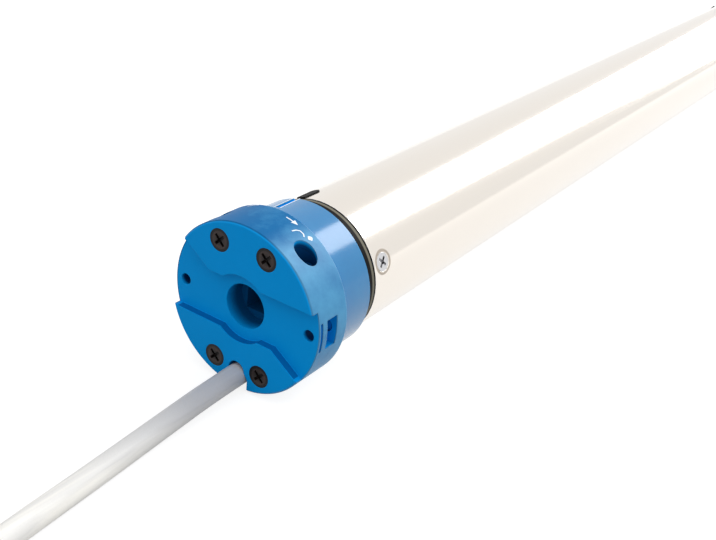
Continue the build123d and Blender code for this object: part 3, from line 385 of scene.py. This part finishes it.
def blueMoulding(name, radius, backRim, sheen, gloss, worn, paleMottleAndReflection, reflectionShare):
    # a plain matt face with painted shade on its channel walls, and a glossier turned side with a
    # painted highlight on its back rim; painted shade darkens the bore and holes, and on the head a
    # painted reflection pales the side towards -y
    paint = Paint(name)
    x, y, z = paint.axes()
    around = distance(y, z)
    side = around.ramped(radius - blueForm["sideSkin"], blueForm["sideEdge"])
    # painted highlight along the back rim of the turned side
    rim = side * (x > (backRim - blueForm["rimWidth"]) * mm)
    # painted shade on the channel walls of the face
    channelShade = (x > faceChannel["front"] * mm) * (x < faceChannel["foot"] * mm)
    channelShade = channelShade * (around < faceChannel["reach"] * mm)
    cloud = paint.noise(95, 5, 0.65)
    spark, flow, height = mouldTexture(paint)
    mottling = (cloud * 0.5 + flow * 0.2).clamped()
    plain = paint.blend(mottling, blueColours["plain"], blueColours["plainDeep"])
    shaded = paint.blend(channelShade * 0.8, plain, blueColours["channelWallShade"])
    # painted reflection: the head's side turns paler towards -y, and its coat is raised there too
    paintedReflection = y.ramped(blueForm["reflectionStart"], -blueForm["reflectionWidth"]) * reflectionShare
    turned = paint.blend((cloud * 2 - 1 + paintedReflection).clamped(), worn, paleMottleAndReflection)
    skin = paint.blend(rim * 0.7, paint.blend(side, shaded, turned), blueColours["rim"])
    return paint.finish(
        # painted shade darkens the bore and holes
        Base_Color=paint.blend(paintedHoleShade(x, y, z, around) * 0.92, skin, blueColours["inside"]),
        Roughness=(0.4 + cloud * 0.1 + spark * 0.05).clamped(),
        Specular_IOR_Level=0.06,
        Normal=mouldBump(paint, height, blueForm["edge"]),
        Coat_Weight=side * (cloud * 0.06 + paintedReflection * 0.6 + gloss),
        Coat_Roughness=sheen,
        Coat_IOR=1.6,
    )


collar = {
    "black": srgb(13, 13, 14),
    "worn": srgb(22, 21, 20),
    # colour of the painted highlight on the collar
    "band": srgb(126, 122, 108),
    "bandX": 33.1,
    "bandHalf": 0.65,
    "bandEdge": 0.3,
    "bandFrom": 22,
    "edge": 0.2,
    "depth": 0.02,
}


def collarBlack():
    # a dull painted highlight lies between the collar's black edges
    paint = Paint("collarBlack")
    x, y, z = paint.axes()
    # painted highlight: a paler band round the collar
    band = (x - collar["bandX"] * mm).absolute().ramped(collar["bandHalf"], -collar["bandEdge"])
    band = band * (distance(y, z) > collar["bandFrom"] * mm)
    grain = paint.noise(1800, 3, 0.6)
    shade = paint.blend(grain, collar["black"], collar["worn"])
    return paint.finish(
        Base_Color=paint.blend(band * 0.8, shade, collar["band"]),
        Roughness=(0.42 + grain * 0.12).clamped(),
        Specular_IOR_Level=0.05,
        Normal=paint.bump(grain, collar["depth"] * mm, 0.5, collar["edge"] * mm),
    )


metals = {
    "bright_steel": {
        "name": "brightSteel",
        "colour": srgb(206, 206, 208),
        "roughness": 0.22,
        "edge": 0.1,
        "streak": (1, 1, 1),
        "depth": 0.008,
        "scale": 1200,
    },
    "gear_steel": {
        "name": "gearSteel",
        "colour": srgb(158, 158, 162),
        "roughness": 0.34,
        "edge": 0.1,
        "streak": (0.1, 1, 1),
        "depth": 0.01,
        "scale": 900,
    },
    "zinc_steel": {
        "name": "zincSteel",
        "colour": srgb(196, 200, 204),
        "roughness": 0.3,
        "edge": 0.1,
        "streak": (1, 1, 1),
        "depth": 0.008,
        "scale": 500,
    },
    "ferrule_tin": {
        "name": "ferruleTin",
        "colour": srgb(208, 206, 202),
        "roughness": 0.3,
        "edge": 0,
        "streak": (1, 1, 1),
        "depth": 0.01,
        "scale": 1500,
    },
    "bearing_bronze": {
        "name": "bearingBronze",
        "colour": srgb(176, 138, 84),
        "roughness": 0.4,
        "edge": 0.1,
        "streak": (1, 1, 1),
        "depth": 0.02,
        "scale": 1600,
    },
}
metalDeep = 0.93


def brightMetal(name, colour, roughness, edge, streak, depth, scale):
    paint = Paint(name)
    cloud = paint.noise(30, 4, 0.6)
    lines = paint.noise(scale, 3, 0.7, streak)
    deep = tuple(share * metalDeep for share in colour[:3]) + (1.0,)
    return paint.finish(
        Base_Color=paint.blend((cloud * 0.5).clamped(), colour, deep),
        Metallic=1.0,
        Roughness=(roughness - 0.04 + lines * 0.06 + cloud * 0.03).clamped(),
        Normal=paint.bump(lines, depth * mm, 0.35, edge * mm),
    )


tube = {
    "bright": srgb(238, 232, 224),
    "shade": srgb(231, 224, 215),
    "edge": 0.2,
    "depth": 0.03,
}
tubeScrew = {
    "x": 39.15,
    "angle": 69,
    # colour of the painted shade on the dimple ring
    "dimpleShade": srgb(158, 146, 132),
    "dimpleRadius": 3.6,
    "dimpleHalf": 0.55,
    "dimpleEdge": 0.25,
    "dimpleFoot": 3,
    "dimpleRise": 1,
}


def tubeSteel():
    # bright plated tube, drawn lengthways, with a dimple pressed round each screw, and painted shade as
    # a darker ring on each dimple
    paint = Paint("tubeSteel")
    x, y, z = paint.axes()
    cloud = paint.noise(14, 3, 0.5, (0.2, 1, 1))
    draw = paint.noise(700, 2, 0.6, (0.02, 1, 1))
    turn = radians(tubeScrew["angle"])
    away = distance(x - tubeScrew["x"] * mm, y * cos(turn) + z * sin(turn))
    # painted shade: a darker ring on the dimple round each screw
    dimpleShade = (away - tubeScrew["dimpleRadius"] * mm).absolute()
    dimpleShade = dimpleShade.ramped(tubeScrew["dimpleHalf"], -tubeScrew["dimpleEdge"])
    plain = paint.blend((cloud * 0.8).clamped(), tube["bright"], tube["shade"])
    height = draw * 0.1 + away.ramped(tubeScrew["dimpleFoot"], tubeScrew["dimpleRise"])
    return paint.finish(
        Base_Color=paint.blend(dimpleShade * 0.85, plain, tubeScrew["dimpleShade"]),
        Metallic=1.0,
        Roughness=(0.1 + draw * 0.05 + cloud * 0.02 + dimpleShade * 0.2).clamped(),
        Normal=paint.bump(height, tube["depth"] * mm, 0.6, tube["edge"] * mm),
    )


shield = {
    "light": srgb(196, 198, 200),
    "dark": srgb(172, 174, 178),
    "edge": 0.4,
    "depth": 0.04,
}


def castAluminium():
    paint = Paint("castAluminium")
    grit = paint.noise(1500, 5, 0.7)
    cloud = paint.noise(60, 3, 0.5)
    return paint.finish(
        Base_Color=paint.blend(cloud, shield["light"], shield["dark"]),
        Metallic=0.9,
        Roughness=(0.38 + grit * 0.2).clamped(),
        Normal=paint.bump(grit, shield["depth"] * mm, 0.6, shield["edge"] * mm),
    )


statorStack = {
    "light": srgb(92, 94, 100),
    "dark": srgb(70, 68, 70),
    "sheet": 0.65,
    "depth": 0.08,
}


def laminations():
    # stacked sheet edges along the motor
    paint = Paint("laminations")
    x = paint.axes()[0]
    sheets = (x * (2 * pi / (statorStack["sheet"] * mm))).sine() * 0.5 + 0.5
    oxide = paint.noise(120, 4, 0.6)
    return paint.finish(
        Base_Color=paint.blend(oxide, statorStack["light"], statorStack["dark"]),
        Metallic=0.8,
        Roughness=(0.4 + oxide * 0.2).clamped(),
        Normal=paint.bump(sheets, statorStack["depth"] * mm, 0.7),
    )


winding = {
    "copper": srgb(196, 104, 52),
    "dark": srgb(122, 52, 24),
    "wiresPerMetre": (900, 5200, 4700),
    "depth": 0.2,
}


def copperWinding():
    paint = Paint("copperWinding")
    x, y, z = paint.axes()
    lengthways, across, up = winding["wiresPerMetre"]
    wires = (x * lengthways + y * across + z * up).sine() * 0.5 + 0.5
    varnish = paint.noise(90, 4, 0.6)
    return paint.finish(
        Base_Color=paint.blend(wires * 0.6 + varnish * 0.3, winding["copper"], winding["dark"]),
        Metallic=0.7,
        Roughness=(0.28 + varnish * 0.2).clamped(),
        Normal=paint.bump(wires, winding["depth"] * mm, 0.8),
    )


brake = {
    "light": srgb(88, 72, 60),
    "dark": srgb(46, 42, 40),
    "depth": 0.06,
}


def brakeLining():
    paint = Paint("brakeLining")
    fleck = paint.noise(900, 5, 0.8)
    return paint.finish(
        Base_Color=paint.blend(fleck, brake["light"], brake["dark"]),
        Roughness=(0.7 + fleck * 0.2).clamped(),
        Normal=paint.bump(fleck, brake["depth"] * mm, 0.7),
    )


spindle = {
    "steel": srgb(206, 206, 208),
    # colour of the painted shade in the thread's stripes
    "groove": srgb(120, 118, 116),
    "z": 14.4,
    "threadStart": 59,
    "threadEnd": 128,
    "threadPitch": 1,
    "depth": 0.4,
}


def threadedSteel():
    # rolled thread on the limit spindle, between its plain ends, with painted shade in darker stripes
    # along the thread
    paint = Paint("threadedSteel")
    x, y, z = paint.axes()
    turn = paint.add("ShaderNodeMath", {"operation": "ARCTAN2"}, {0: z - spindle["z"] * mm, 1: y})
    thread = (x * (2 * pi / (spindle["threadPitch"] * mm)) + turn).sine() * 0.5 + 0.5
    inside = (x > spindle["threadStart"] * mm) * (x < spindle["threadEnd"] * mm)
    wear = paint.noise(400, 3, 0.6)
    return paint.finish(
        # painted shade: darker stripes along the thread
        Base_Color=paint.blend(thread * inside * 0.6, spindle["steel"], spindle["groove"]),
        Metallic=1.0,
        Roughness=(0.25 + wear * 0.1).clamped(),
        Normal=paint.bump(thread * inside, spindle["depth"] * mm, 0.8),
    )


jacket = {
    "pale": srgb(244, 242, 236),
    "paleDeep": srgb(232, 230, 224),
    # colours of the painted shade on the jacket near the head
    "shadeNearHead": srgb(196, 196, 198),
    "shadeNearHeadDeep": srgb(178, 178, 182),
    "ridge": srgb(168, 169, 176),
    "shadeFrom": -62,
    "shadeWidth": 44,
    "depth": 0.4,
}


def cableJacket():
    # grey-white jacket: the cores show faintly through it as long ridges, and painted shade makes it
    # greyer and darker near the head
    paint = Paint("cableJacket")
    x = paint.axes()[0]
    scuff = paint.noise(70, 5, 0.65)
    fine = paint.noise(1800, 3, 0.6)
    ridge = paint.noise(420, 2, 0.4, (0.03, 1, 1))
    # painted shade: the jacket darkens towards the head
    shadeShare = x.ramped(jacket["shadeFrom"], jacket["shadeWidth"])
    pale = paint.blend(scuff * 0.5, jacket["pale"], jacket["paleDeep"])
    shadeNearHead = paint.blend(scuff * 0.5, jacket["shadeNearHead"], jacket["shadeNearHeadDeep"])
    tone = paint.blend((shadeShare * 0.9).clamped(), pale, shadeNearHead)
    return paint.finish(
        Base_Color=paint.blend((ridge * 5 - 2.3).clamped() * 0.32, tone, jacket["ridge"]),
        Roughness=(0.38 + scuff * 0.14).clamped(),
        Normal=paint.bump(ridge * 0.9 + fine * 0.1, jacket["depth"] * mm, 0.8),
    )


cores = {
    "brown": srgb(116, 68, 40),
    "black": srgb(34, 34, 38),
    "blue": srgb(38, 104, 176),
    "yellow": srgb(206, 190, 40),
    "green": srgb(40, 122, 60),
    "across": (0, 1, 0),
    "up": (0, 0, 1),
    "farMiddle": (-352, 43.5, -14.5),
    "headMiddle": (0, 0, -17),
    "stripesPerMetre": (1800, 900),
    "stripeShare": 0.2,
    "depth": 0.04,
}


def coreInsulation(name, middle):
    # four cores of four colours, told apart by where they lie round the lead
    paint = Paint(name)
    where = paint.add("ShaderNodeVectorMath", {"operation": "SUBTRACT"}, {0: paint.place(), 1: middle})

    def beyond(way):
        return paint.add("ShaderNodeVectorMath", {"operation": "DOT_PRODUCT"}, {0: where, 1: way},
                         out="Value") > 0

    x, z = paint.axes()[::2]
    side = beyond(cores["across"])
    upper = beyond(cores["up"])
    scuff = paint.noise(300, 4, 0.6)
    lengthways, rising = cores["stripesPerMetre"]
    stripe = (x * lengthways + z * rising).sine() > cores["stripeShare"]
    earth = paint.blend(stripe, cores["yellow"], cores["green"])
    above = paint.blend(side, cores["brown"], earth)
    below = paint.blend(side, cores["black"], cores["blue"])
    return paint.finish(
        Base_Color=paint.blend(upper, below, above),
        Roughness=(0.35 + scuff * 0.15).clamped(),
        Normal=paint.bump(scuff, cores["depth"] * mm, 0.5),
    )


faceScrew = {
    "y": 8.5,
    "z": 19.25,
    "bloom": srgb(32, 26, 26),
    "bloomLight": srgb(62, 50, 47),
    "black": srgb(12, 10, 11),
    "rimStart": 2.55,
    "rimEdge": 0.3,
    "middle": 2,
    "middleEdge": 0.9,
    "edge": 0.15,
    "depth": 0.04,
}


def darkSteel():
    # blackened screw heads: a brown bloom between a black rim and a black middle
    paint = Paint("darkSteel")
    x, y, z = paint.axes()
    away = distance(y.absolute() - faceScrew["y"] * mm, z.absolute() - faceScrew["z"] * mm)
    rim = away.ramped(faceScrew["rimStart"], faceScrew["rimEdge"])
    middle = away.ramped(faceScrew["middle"], -faceScrew["middleEdge"])
    bloom = paint.noise(420, 5, 0.7)
    brown = paint.blend(bloom, faceScrew["bloom"], faceScrew["bloomLight"])
    return paint.finish(
        Base_Color=paint.blend((rim + middle * 0.85).clamped(), brown, faceScrew["black"]),
        Metallic=0.6,
        Roughness=(0.34 + bloom * 0.2).clamped(),
        Normal=paint.bump(bloom, faceScrew["depth"] * mm, 0.6, faceScrew["edge"] * mm),
    )


ink = {
    "white": srgb(240, 244, 248),
    "worn": srgb(214, 226, 238),
    "depth": 0.01,
}


def printedWhite():
    paint = Paint("printedWhite")
    wear = paint.noise(1400, 4, 0.7)
    return paint.finish(
        Base_Color=paint.blend(wear, ink["white"], ink["worn"]),
        Roughness=(0.5 + wear * 0.15).clamped(),
        Normal=paint.bump(wear, ink["depth"] * mm, 0.4),
    )


finishes = {
    "blue_plastic": blueMoulding(**headBlue),
    "black_steel": darkSteel(),
    "tube_steel": tubeSteel(),
    "wire_insulation": coreInsulation("coreColours", point(*cores["farMiddle"])),
    "cable_grey": cableJacket(),
    "cast_aluminium": castAluminium(),
    "lamination_steel": laminations(),
    "winding_copper": copperWinding(),
    "brake_lining": brakeLining(),
}
finishes.update({slot: mouldedPlastic(**look) for slot, look in mouldings.items()})
finishes.update({slot: brightMetal(**look) for slot, look in metals.items()})
ownFinishes = {
    "limit_spindle": threadedSteel(),
    "head_wires": coreInsulation("leadColours", point(*cores["headMiddle"])),
    "crown": blueMoulding(**crownBlue),
    "tube_collar": collarBlack(),
}
markWhite = printedWhite()


def dressNodes():
    slots = {row["node"]: row["material_slot"] for row in frame["record"]["subparts"]}
    for name, node in nodes.items():
        node.data.materials.clear()
        node.data.materials.append(ownFinishes.get(name) or finishes[slots[name]])
    print("nodes dressed:", len(nodes))


dressNodes()


# Cable

cable = {
    "radius": 3.5,
    "route": [(7.4, 0, -22.5), (-12, 0, -22.6), (-34, -0.9, -23.3), (-62, -2.9, -23.3),
              (-104, -6.2, -22.2), (-148, -23.5, -22.0), (-168, -23.5, -22.0)],
    "loopRadius": 33.5,
    "run": 184,
    "turnPitch": 7.5,
    "layerPitch": 7.5,
    "layers": 2,
    "layerTurns": 1.5,
    "bendPoints": 8,
    "knotSteps": 6,
    "ringSteps": 5,
    "length": 2.08,
}


def hankReversals():
    layer = 2 * pi * cable["layerTurns"]
    return [layer + pi / 2 + index * (layer + pi) for index in range(cable["layers"] - 1)]


def hankPoint(turned, centre, along, widen=1):
    # a half lap is a straight run and then a half turn
    turnBacks = [0] + hankReversals() + [inf]
    radius = cable["loopRadius"]
    inward = -1
    for low, high in zip(turnBacks, turnBacks[1:]):
        radius += inward * min(max(turned - low, 0), high - low) * cable["turnPitch"] / (2 * pi)
        inward = -inward
    climbs = [min(max((turned - mark + pi / 2) / pi, 0), 1) for mark in hankReversals()]
    halfLaps, rest = divmod(turned, pi)
    side = -1 if halfLaps % 2 else 1
    runShare = hankRunShare()
    angle = pi * max(rest / pi - runShare, 0) / (1 - runShare)
    forward = cable["run"] * (min(rest / pi / runShare, 1) - 0.5) + radius * sin(angle) * widen
    across = -radius * cos(angle) * widen
    right = Vector((along.y, -along.x, 0))
    rise = Vector((0, 0, cable["layerPitch"] * sum(climbs)))
    return centre + (along * forward + right * across) * side + rise


def hankRunShare():
    return cable["run"] / (cable["run"] + pi * cable["loopRadius"])


def cableLine():
    route = [Vector(place) for place in cable["route"]]
    along = (route[-1] - route[-2]).normalized()
    first = route[-1] + along * 2 * cable["radius"]
    centre = first + along * cable["run"] / 2 + Vector((along.y, -along.x, 0)) * cable["loopRadius"]
    halfLaps = round((hankReversals()[-1] + 2 * pi * cable["layerTurns"] + pi / 2) / pi)
    bends = cable["bendPoints"]
    widen = 1 / (0.75 + 0.25 * cos(pi / bends))  # the spline runs inside its points
    turns = []
    for lap in range(halfLaps):
        turns.append(hankPoint(pi * (lap + hankRunShare()), centre, along))
        for index in range(1, bends):
            share = hankRunShare() + (1 - hankRunShare()) * index / bends
            turns.append(hankPoint(pi * (lap + share), centre, along, widen))
        turns.append(hankPoint(pi * (lap + 1), centre, along))
    onwards = -along if halfLaps % 2 else along
    end = turns[-1] + onwards * 2 * cable["radius"]
    return route + [first] + turns + [end]


def makeCable():
    places = cableLine()
    curve = bpy.data.curves.new("mainsCable", "CURVE")
    curve.dimensions = "3D"
    spline = curve.splines.new("NURBS")
    spline.points.add(len(places) - 1)
    for knot, place in zip(spline.points, places):
        knot.co = (*(place * mm), 1.0)
    spline.use_endpoint_u = True
    spline.order_u = 3
    spline.resolution_u = cable["knotSteps"]
    curve.bevel_depth = cable["radius"] * mm
    curve.bevel_resolution = cable["ringSteps"]
    curve.use_fill_caps = True
    curve.materials.append(finishes["cable_grey"])
    piece = newObject("mainsCable", curve, "casing")
    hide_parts("power_cable", "cable_coil")
    print("cable laid:", len(places), "points")


makeCable()


# Printed marks by the adjusting holes

marks = {
    "headRadius": headBlue["radius"],
    "lift": 0.02,
    "thickness": 0.03,
    "line": 0.4,
    "arrowSize": 1.9,
    "cuts": 2,
    "curved": [(7.2, 20.2), (8.6, 20.9), (9.6, 22.6), (9.6, 25.6), (8.9, 27.4)],
    "plus": (10.4, 30.0),
    "plusSize": 1.7,
    "straight": [(10.9, 9), (10.9, 14.4)],
    "farCurve": [(11.2, -22.4), (11.9, -20.4), (12.4, -18), (12.5, -15.6)],
    "crownRadius": crownBlue["radius"],
    "crownLines": (-17.4, -11.4),
    "crownLineEnds": (19.6, 29.2),
}


def flat(x, angle, radius=marks["headRadius"]):
    # a round side unrolled: along the motor, and round it towards the photo's right
    return Vector((x, radians(angle) * radius))


def stroke(line, radius=marks["headRadius"]):
    places = [flat(x, angle, radius) for x, angle in line]
    left, right = [], []
    for index, place in enumerate(places):
        way = (places[min(index + 1, len(places) - 1)] - places[max(index - 1, 0)]).normalized()
        across = Vector((-way.y, way.x)) * marks["line"] / 2
        left.append(place + across)
        right.append(place - across)
    return left + right[::-1]


def arrowHead(line, size):
    tail, tip = flat(*line[-2]), flat(*line[-1])
    way = (tip - tail).normalized()
    across = Vector((-way.y, way.x)) * size / 2
    return [tip - across, tip + across, tip + way * size]


def plusSign(at, size):
    middle = flat(*at)
    half = marks["line"] / 2
    reach = size / 2
    corners = [(half, half), (half, reach), (-half, reach), (-half, half),
               (-reach, half), (-reach, -half), (-half, -half), (-half, -reach),
               (half, -reach), (half, -half), (reach, -half), (reach, half)]
    return [middle + Vector(corner) for corner in corners]


def printOn(outlines, name, ground=marks["headRadius"], body="casing"):
    mesh = bmesh.new()
    for outline in outlines:
        mesh.faces.new([mesh.verts.new((place.x, place.y, 0)) for place in outline])
    bmesh.ops.triangulate(mesh, faces=mesh.faces)
    bmesh.ops.subdivide_edges(mesh, edges=mesh.edges, cuts=marks["cuts"], use_grid_fill=True)
    low = ground + marks["lift"]
    skin = bmesh.ops.extrude_face_region(mesh, geom=mesh.faces[:])
    raised = {corner for corner in skin["geom"] if isinstance(corner, bmesh.types.BMVert)}
    for corner in mesh.verts:
        radius = low + (marks["thickness"] if corner in raised else 0)
        turn = corner.co.y / ground
        corner.co = point(corner.co.x, -radius * sin(turn), radius * cos(turn))
    return meshPiece(name, mesh, body, markWhite)


def crownLine(angle):
    return stroke([(x, angle) for x in marks["crownLineEnds"]], marks["crownRadius"])


printOn([stroke(marks["curved"]), plusSign(marks["plus"], marks["plusSize"])], "curvedMark")
printOn([stroke(marks["straight"]), arrowHead(marks["straight"], marks["arrowSize"])], "arrowMark")
printOn([stroke(marks["farCurve"])], "farMark")
printOn([crownLine(angle) for angle in marks["crownLines"]], "crownLines",
        marks["crownRadius"], "crown_ring")
print("marks printed")


# Floor, backdrop and light

studio = {
    "floor": -headBlue["radius"],
    "floorGap": 0.05,
    "floorHalf": 6000,
    "floorTone": 0.3,
    "floorGlow": 0.82,
    "floorMirror": 0.72,
    "world": 0.76,
}


def makeFloor():
    mesh = bmesh.new()
    bmesh.ops.create_grid(mesh, x_segments=1, y_segments=1, size=studio["floorHalf"] * mm)
    bmesh.ops.translate(mesh, verts=mesh.verts, vec=point(0, 0, studio["floor"] - studio["floorGap"]))
    data = bpy.data.meshes.new("floor")
    mesh.to_mesh(data)
    mesh.free()
    paint = Paint("floorWhite")
    path = paint.tree.nodes.new("ShaderNodeLightPath")
    seen = Socket(paint, path.outputs["Is Camera Ray"])
    glossy = Socket(paint, path.outputs["Is Glossy Ray"])
    through = Socket(paint, path.outputs["Is Transmission Ray"])
    glow = seen * studio["floorGlow"] + (glossy + through).clamped() * studio["floorMirror"]
    tone = studio["floorTone"]
    matte = paint.add("ShaderNodeBsdfDiffuse", {}, {"Color": (tone, tone, tone, 1)})
    lit = paint.add("ShaderNodeEmission", {}, {"Color": (1, 1, 1, 1), "Strength": glow})
    both = paint.add("ShaderNodeAddShader", {}, {0: matte, 1: lit})
    paint.tree.links.new(both.link, paint.output.inputs["Surface"])
    data.materials.append(paint.material)
    floor = bpy.data.objects.new("floor", data)
    scene.collection.objects.link(floor)


def makeWorld():
    world = bpy.data.worlds.new("studio")
    scene.world = world
    world.use_nodes = True
    tree = world.node_tree
    tree.nodes.clear()
    path = tree.nodes.new("ShaderNodeLightPath")
    plain = tree.nodes.new("ShaderNodeBackground")
    plain.inputs["Strength"].default_value = studio["world"]
    plain.inputs["Color"].default_value = (1, 1, 1, 1)
    white = tree.nodes.new("ShaderNodeBackground")
    white.inputs["Color"].default_value = (1, 1, 1, 1)
    first = tree.nodes.new("ShaderNodeMath")
    second = tree.nodes.new("ShaderNodeMath")
    second.use_clamp = True
    tree.links.new(path.outputs["Is Camera Ray"], first.inputs[0])
    tree.links.new(path.outputs["Is Glossy Ray"], first.inputs[1])
    tree.links.new(first.outputs[0], second.inputs[0])
    tree.links.new(path.outputs["Is Transmission Ray"], second.inputs[1])
    mix = tree.nodes.new("ShaderNodeMixShader")
    output = tree.nodes.new("ShaderNodeOutputWorld")
    tree.links.new(second.outputs[0], mix.inputs[0])
    tree.links.new(plain.outputs[0], mix.inputs[1])
    tree.links.new(white.outputs[0], mix.inputs[2])
    tree.links.new(mix.outputs[0], output.inputs["Surface"])


def areaLight(name, at, towards, sizes, glow, side=None):
    # glow is the brightness of the lamp's face, where 1 is white
    data = bpy.data.lights.new(name, "AREA")
    data.shape = "RECTANGLE"
    data.size, data.size_y = sizes
    data.energy = glow * pi * sizes[0] * sizes[1]
    light = bpy.data.objects.new(name, data)
    scene.collection.objects.link(light)
    back = (Vector(at) - Vector(towards)).normalized()
    across = Vector(side) if side else Vector((0, 0, 1)).cross(back)
    across = (across - back * across.dot(back)).normalized()
    turn = Matrix((across, back.cross(across), back)).transposed().to_4x4()
    light.matrix_world = Matrix.Translation(Vector(at)) @ turn


# places and sizes of the lamps in metres
lamps = {
    "softbox": {
        "at": (1.54, -0.264, 0.67),
        "towards": (0.15, 0, 0),
        "sizes": (0.75, 2.6),
        "glow": 5.5,
        "side": (0, -0.926, -0.377),
    },
    "key": {
        "at": (-0.55, 0.25, 1.15),
        "towards": (0.03, 0, 0),
        "sizes": (0.9, 0.9),
        "glow": 0.75,
    },
    "side": {
        "at": (0.1, -1.3, 0.75),
        "towards": (0.05, 0, 0),
        "sizes": (1.2, 0.8),
        "glow": 1.45,
    },
}


def makeLights():
    for name, lamp in lamps.items():
        areaLight(name, **lamp)


makeFloor()
makeWorld()
makeLights()
scene.view_settings.view_transform = "Standard"
print("studio lit")
